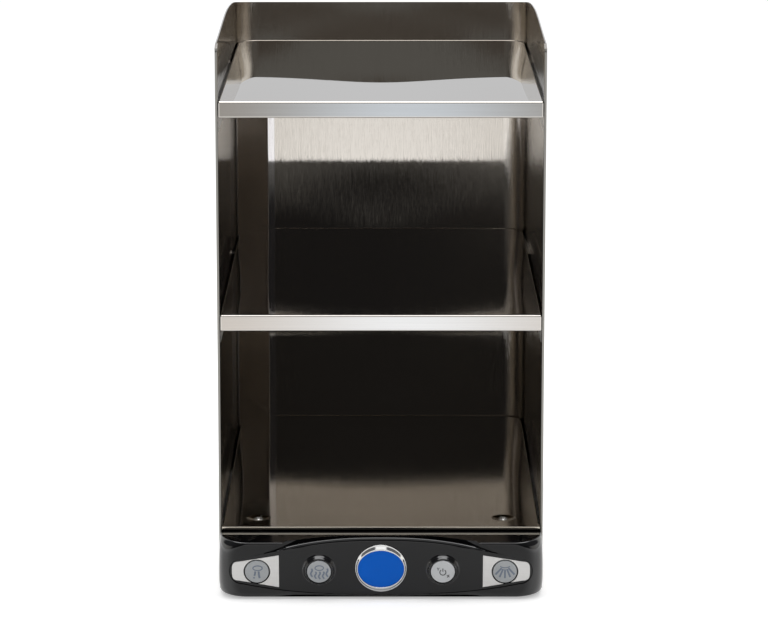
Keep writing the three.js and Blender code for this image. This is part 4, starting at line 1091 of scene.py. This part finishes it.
def build_cap(number, button, finish):
    x, y, stand = button
    flange = -SEAT - SEAT_WALL - FIT
    back = flange - CAP_FLANGE
    stem = back - STEM_LENGTH
    end = stem - PLUNGER_LENGTH
    crown = arc(CAP_RADIUS - CAP_ROUND, stand - CAP_ROUND, CAP_ROUND, 0, 90, CAP_STEPS)
    crown += [(radius, stand + rise) for radius, rise in CAP_CROWN]
    profile = [(AXIS, end), (PLUNGER_RADIUS, end), (PLUNGER_RADIUS, stem), (STEM_RADIUS, stem),
               (STEM_RADIUS, back), (CAP_FLANGE_RADIUS, back), (CAP_FLANGE_RADIUS, flange),
               (CAP_RADIUS, flange), *crown]
    cap = on_face(f"cap_{number}", lathe(profile, TURNED_STEPS, (x, y)), finish)
    dress(cap, "button_cap", f"button_cap_{number}", body=f"button_{number}")


for number, button in enumerate(BUTTONS, 1):
    build_cap(number, button, CAP_PALE if number == 3 else CAP_GREY)


# Signs printed on the caps, as lines of (across, up) places from a cap's middle, each with its width

SIGN_RISE = 0.05
OVAL_STEPS = 28
WAVE_STEPS = 16


def oval(cx, cy, half_width, half_height, start=0.0, end=360.0):
    return [(cx + half_width * x, cy + half_height * y) for x, y in arc(0, 0, 1, start, end, OVAL_STEPS)]


def wave(x, top, bottom, swing):
    shares = [i / WAVE_STEPS for i in range(WAVE_STEPS + 1)]
    return [(x + swing * math.sin(2.4 * math.pi * share), top + (bottom - top) * share) for share in shares]


def pour_sign():
    return [(oval(0.7, 3.8, 4.3, 2.3), 1.0), ([(-1.5, 0.6), (-1.7, -1.6), (-2.3, -3.9)], 1.7),
            ([(-2.5, -5.2), (-2.8, -6.6)], 1.5), ([(1.6, 0.6), (1.8, -2.4), (2.5, -6.4)], 1.8)]


def steam_sign():
    places = ((-6.9, 3.4, -5.0), (-3.2, 0.4, -6.8), (0.4, 0.4, -7.4), (4.0, 0.4, -6.8), (7.4, 3.4, -5.0))
    return [(oval(0.3, 4.0, 3.9, 2.3), 1.0)] + [(wave(x, top, low, 0.7), 1.5) for x, top, low in places]


def power_sign():
    return [(oval(0, -0.3, 2.8, 2.8, 125, 415), 0.85), ([(0, 0.4), (0, 3.6)], 0.85),
            ([(-5.4, 4.3), (-4.4, 2.9), (-3.2, 4.3)], 0.65), ([(-4.4, 2.9), (-4.4, 1.6)], 0.65),
            ([(3.6, -2.9), (6.1, -5.2)], 0.65), ([(5.8, -2.7), (4.0, -5.6)], 0.65)]


def spray_sign():
    turns = [math.radians(angle) for angle in (-44, -23, 0, 23, 44)]
    rays = [[(4.6 * math.sin(t), 7.2 - 4.6 * math.cos(t)), (12.6 * math.sin(t), 6.6 - 12.8 * math.cos(t))]
            for t in turns]
    return [(ray, 1.7) for ray in rays] + [(oval(0, 6.2, 4.4, 1.9, 190, 350), 0.9)]


def stroke(path, width, low, high):
    """Points and faces of a line of even width with blunt ends, as a flat bar along a path."""
    rings = []
    for i, point in enumerate(path):
        ahead, behind = Vector(path[min(i + 1, len(path) - 1)]), Vector(path[max(i - 1, 0)])
        if path[0] == path[-1] and i in (0, len(path) - 1):
            ahead, behind = Vector(path[1]), Vector(path[-2])
        along = (ahead - behind).normalized()
        side = Vector((-along.y, along.x)) * width / 2
        a, b = Vector(point) + side, Vector(point) - side
        rings.append([(*a, low), (*b, low), (*b, high), (*a, high)])
    return loft(rings, caps=path[0] != path[-1])


def crown_height(x, y, stand):
    return stand + CAP_DOME * (1 - min(math.hypot(x, y) / CAP_RADIUS, 1.0) ** 2)


def build_sign(number, button, sign, finish):
    x, y, stand = button
    bars = []
    for path, width in sign:
        points, faces = stroke(path, width, -0.1, SIGN_RISE)
        placed = [(x + px, y + py, crown_height(px, py, stand) + pz) for px, py, pz in points]
        bars.append(on_face("bar", (placed, faces), finish))
    printed = merge(bars[0], bars[1:])
    printed.name = f"cap_sign_{number}"
    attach(printed, f"button_{number}")


SIGNS = [pour_sign(), steam_sign(), power_sign(), spray_sign()]
for number, (button, sign) in enumerate(zip(BUTTONS, SIGNS), 1):
    build_sign(number, button, sign, SIGN_DARK if number == 3 else SIGN_GREY)


# Badge. Levels of the ring are (share, height) from the oval opening at share 0 to the round edge at 1.

BADGE_STEPS = 128
BADGE_FIT = 0.05
RING_CROWN = [(1.0, 0.3), (0.98, 0.58), (0.9, 0.68), (0.8, 0.74), (0.7, 0.98), (0.34, 2.36),
              (0.24, 2.58), (0.12, 2.64), (0.03, 2.55), (0.0, 2.3)]
DISC_RIM = 1.7
DISC_DOME = 0.6
DISC_STEPS = 10


def badge_level(half_width, half_height, height):
    turns = (math.tau * i / BADGE_STEPS for i in range(BADGE_STEPS))
    return [(half_width * math.cos(turn), BADGE_UP + half_height * math.sin(turn), height) for turn in turns]


def build_badge():
    seat = FIT - BADGE_RECESS
    levels = [badge_level(BADGE_WINDOW_X + share * (BADGE_RADIUS - BADGE_WINDOW_X),
                          BADGE_WINDOW_Y + share * (BADGE_RADIUS - BADGE_WINDOW_Y), height)
              for share, height in [(0.0, seat), (1.0, seat), *spline(RING_CROWN), (0.0, seat)]]
    dress(on_face("emblem_ring", loft(levels, caps=False), CHROME), "badge_ring", "badge_ring")
    dome = [(1.0, seat)] + [(share, DISC_RIM + DISC_DOME * rise)
                            for share, rise in arc(0, 0, 1, 0, 90, DISC_STEPS)[:-1]]
    levels = [badge_level((BADGE_WINDOW_X - BADGE_FIT) * share, (BADGE_WINDOW_Y - BADGE_FIT) * share, height)
              for share, height in dome]
    dress(on_face("emblem_disc", loft(levels), BADGE_BLUE), "badge_disc", "badge_disc")


build_badge()


# Mains inlet in the back: places are (across, down, out) from the middle of its flange. Each box is its
# width, height, upper and lower corner cuts, and its two ends.

INLET_LOW, INLET_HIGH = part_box("mains_inlet")
INLET_MIDDLE = ((INLET_LOW.x + INLET_HIGH.x) / 2, INLET_HIGH.y, (INLET_LOW.z + INLET_HIGH.z) / 2)
INLET = Matrix.Translation(INLET_MIDDLE) @ Matrix.Rotation(math.radians(-90), 4, "X")
INLET_FLANGE = (31.0, 24.0, 2.2, 2.2, -2.4, 0.0)
INLET_SHELL = (27.0, 19.8, 1.0, 3.6, -21.0, -2.1)
INLET_SOCKET = (22.0, 15.0, 0.8, 3.8, -16.0, 6.0)
INLET_PINS = ((-7.0, 1.2), (0.0, -2.2), (7.0, 1.2))
INLET_PIN = (1.0, 2.0, -16.5, -3.4)
INLET_BEVEL = (0.45, 3)
PIN_BEVEL = (0.6, 3)


def inlet_box(name, width, height, upper, lower, low, high):
    half, rise = width / 2, height / 2
    outline = [(-half, upper - rise), (upper - half, -rise), (half - upper, -rise), (half, upper - rise),
               (half, rise - lower), (half - lower, rise), (lower - half, rise), (-half, rise - lower)]
    return build(name, upright(outline, low, high), DARK_PLASTIC, INLET)


def build_inlet():
    inlet = inlet_box("inlet_body", *INLET_FLANGE)
    cut(inlet, [inlet_box("shell", *INLET_SHELL)], "UNION")
    cut(inlet, [inlet_box("socket", *INLET_SOCKET)])
    settle(bevel(inlet, *INLET_BEVEL))
    dress(inlet, "inlet_plastic", "mains_inlet")
    a, b, low, high = INLET_PIN
    pins = [build("pin", slab(x - a, x + a, y - b, y + b, low, high), SCREW_STEEL, INLET)
            for x, y in INLET_PINS]
    blades = merge(pins[0], pins[1:])
    blades.name = "inlet_pins"
    settle(bevel(blades, *PIN_BEVEL))
    dress(blades, "screw_steel")


build_inlet()


# Solids that stay as they come from the CAD part, with soft edges and a finish

SOFT_EDGE = 0.25
SIDES = ("left", "right")
KEPT = {
    # The covers under the plates take a painted shade
    SHADED_UNDER_STEEL: ["tray_cover", "shelf_cover"],
    INNER_STEEL: ["base_pan", *(f"{place}_{side}" for place in ("tray_rail", "shelf_rail", "deck_post")
                                for side in SIDES), *(f"moulding_screw_{n}" for n in range(1, 5))],
    HEATER_RED: ["tray_heater", "shelf_heater", "deck_heater"],
    FELT: ["tray_insulation", "shelf_insulation"],
    DARK_PLASTIC: ["tray_thermostat", "shelf_thermostat", "deck_thermostat", "power_unit",
                   *(f"switch_{n}" for n in range(1, 5))],
    BOARD_GREEN: ["control_board"],
    PALE_PLASTIC: ["board_connector", "tray_connector", "terminal_block"],
    CABLE_BLACK: ["wiring_loom", "control_lead", "supply_lead"],
    FOOT_RUBBER: [f"foot_{end}_{side}" for end in ("front", "rear") for side in SIDES],
}
for finish, names in KEPT.items():
    for name in names:
        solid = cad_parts[name]
        solid.data.materials.clear()
        solid.data.materials.append(finish)
        if finish is not CABLE_BLACK:
            bevel(solid, SOFT_EDGE)


# Studio: a pale floor under a white background. Metal and gloss mirror a room that is pale behind and
# beside the object, dim in front of it and bright overhead.

FLOOR_WIDTH = 40.0
FLOOR_COLOUR = (0.8, 0.8, 0.8, 1.0)
FLOOR_LIFT = 0.4
FLOOR_SHADE = (0.4, 0.9)
WHITE = (1.0, 1.0, 1.0, 1.0)
ROOM_LIGHT = 0.75
LAMP_HEIGHT = 2.6
LAMP_SIZE = 2.4
LAMP_POWER = 40.0

# The mirrored room in layers: a colour, and the edges between which it fades in along parts of a direction
FRONT_FLOOR = (0.095, 0.085, 0.075)
FRONT_LAYERS = [
    ((0.15, 0.15, 0.145), {"up": (0.118, 0.13)}),
    ((0.017, 0.0165, 0.017), {"up": (0.158, 0.171)}),
    ((1.0, 1.0, 1.0), {"up": (0.3, 0.42)}),
]
FRONT_EDGES = {"ahead": (0.35, 0.75)}
REAR_WALL = (0.66, 0.67, 0.69)
ROOM_LAYERS = [
    ((0.9, 0.87, 0.82), {"beside": (0.72, 0.92)}),
    ((1.0, 1.0, 0.97), {"beside": (0.35, 0.55), "back": (-0.2, 0.0)}),
    ((0.12, 0.12, 0.125), {"beside": (0.2, 0.3), "back": (0.5, 0.3), "up": (0.27, 0.33)}),
    ((1.4, 1.4, 1.43), {"up": (0.8, 0.92)}),
]


def build_floor():
    bpy.ops.mesh.primitive_plane_add(size=FLOOR_WIDTH, location=(0, 0, 0))
    floor = bpy.context.object
    floor.name = "floor"
    made, tree, shader, place = blank_material("floor_white")
    connect(tree, shader, {"Base Color": FLOOR_COLOUR, "Roughness": 0.9, "Specular IOR Level": 0.0})
    path = tree.nodes.new("ShaderNodeLightPath").outputs
    # Mirror rays see the floor's glow only away from the object, so near it the mirrored floor is darker: a
    # painted shade
    reach = node(tree, "ShaderNodeVectorMath", {0: place}, operation="LENGTH").outputs["Value"]
    far = remap(tree, reach, *FLOOR_SHADE, smooth=True)
    seen = maths(tree, "MAXIMUM", path["Is Camera Ray"], product(tree, path["Is Glossy Ray"], far))
    seen = maths(tree, "MAXIMUM", seen, path["Is Transmission Ray"])
    glow = node(tree, "ShaderNodeEmission", {"Strength": product(tree, seen, FLOOR_LIFT)})
    both = node(tree, "ShaderNodeAddShader", {0: shader.outputs[0], 1: glow.outputs[0]})
    backfacing = tree.nodes.new("ShaderNodeNewGeometry").outputs["Backfacing"]
    clear = tree.nodes.new("ShaderNodeBsdfTransparent")
    shown = node(tree, "ShaderNodeMixShader", {0: product(tree, path["Is Camera Ray"], backfacing),
                                               1: both.outputs[0], 2: clear.outputs[0]})
    tree.links.new(shown.outputs[0], tree.nodes["Material Output"].inputs["Surface"])
    floor.data.materials.append(made)


def layered(tree, colour, layers, direction):
    """A colour with others laid over it, each where all of its fades along a direction are in."""
    for shown, edges in layers:
        fades = [remap(tree, direction[part], *ends, smooth=True) for part, ends in edges.items()]
        colour = blend_colour(tree, product(tree, *fades), colour, shown)
    return colour


def build_world():
    world = bpy.data.worlds.new("studio")
    bpy.context.scene.world = world
    world.use_nodes = True
    tree = world.node_tree
    tree.nodes.clear()
    outward = tree.nodes.new("ShaderNodeTexCoord").outputs["Generated"]
    parts = node(tree, "ShaderNodeSeparateXYZ", {0: outward}).outputs
    direction = {"beside": maths(tree, "ABSOLUTE", parts["X"]), "ahead": product(tree, parts["Y"], -1.0),
                 "back": parts["Y"], "up": parts["Z"]}
    front = layered(tree, FRONT_FLOOR, FRONT_LAYERS, direction)
    room = layered(tree, REAR_WALL, [(front, FRONT_EDGES), *ROOM_LAYERS], direction)
    path = tree.nodes.new("ShaderNodeLightPath").outputs
    seen, light, white = [
        node(tree, "ShaderNodeBackground", {"Color": colour, "Strength": strength}).outputs[0]
        for colour, strength in ((room, 1.0), (WHITE, ROOM_LIGHT), (WHITE, 1.0))]
    glossy = node(tree, "ShaderNodeMixShader", {0: path["Is Glossy Ray"], 1: light, 2: seen}).outputs[0]
    camera = maths(tree, "MAXIMUM", path["Is Camera Ray"], path["Is Transmission Ray"])
    final = node(tree, "ShaderNodeMixShader", {0: camera, 1: glossy, 2: white})
    tree.links.new(final.outputs[0], tree.nodes.new("ShaderNodeOutputWorld").inputs["Surface"])


def build_lamp():
    data = bpy.data.lights.new("top_softbox", "AREA")
    data.size = LAMP_SIZE
    data.energy = LAMP_POWER
    add("top_softbox", data).location = (0.0, 0.0, LAMP_HEIGHT)


def build_camera():
    data = bpy.data.cameras.new("camera")
    data.lens = CAMERA_LENS
    data.sensor_width = SENSOR_WIDTH
    data.sensor_fit = "HORIZONTAL"
    data.clip_end = 100.0
    camera = add("camera", data)
    camera.location = at(CAMERA_X, -CAMERA_AHEAD, CAMERA_HEIGHT)
    camera.rotation_euler = (math.radians(90 - CAMERA_PITCH), 0.0, 0.0)
    bpy.context.scene.camera = camera


build_floor()
build_world()
build_lamp()
build_camera()
bpy.context.scene.view_settings.view_transform = "Standard"
bpy.context.scene.cycles.glossy_bounces = 6
bpy.context.scene.cycles.max_bounces = 16
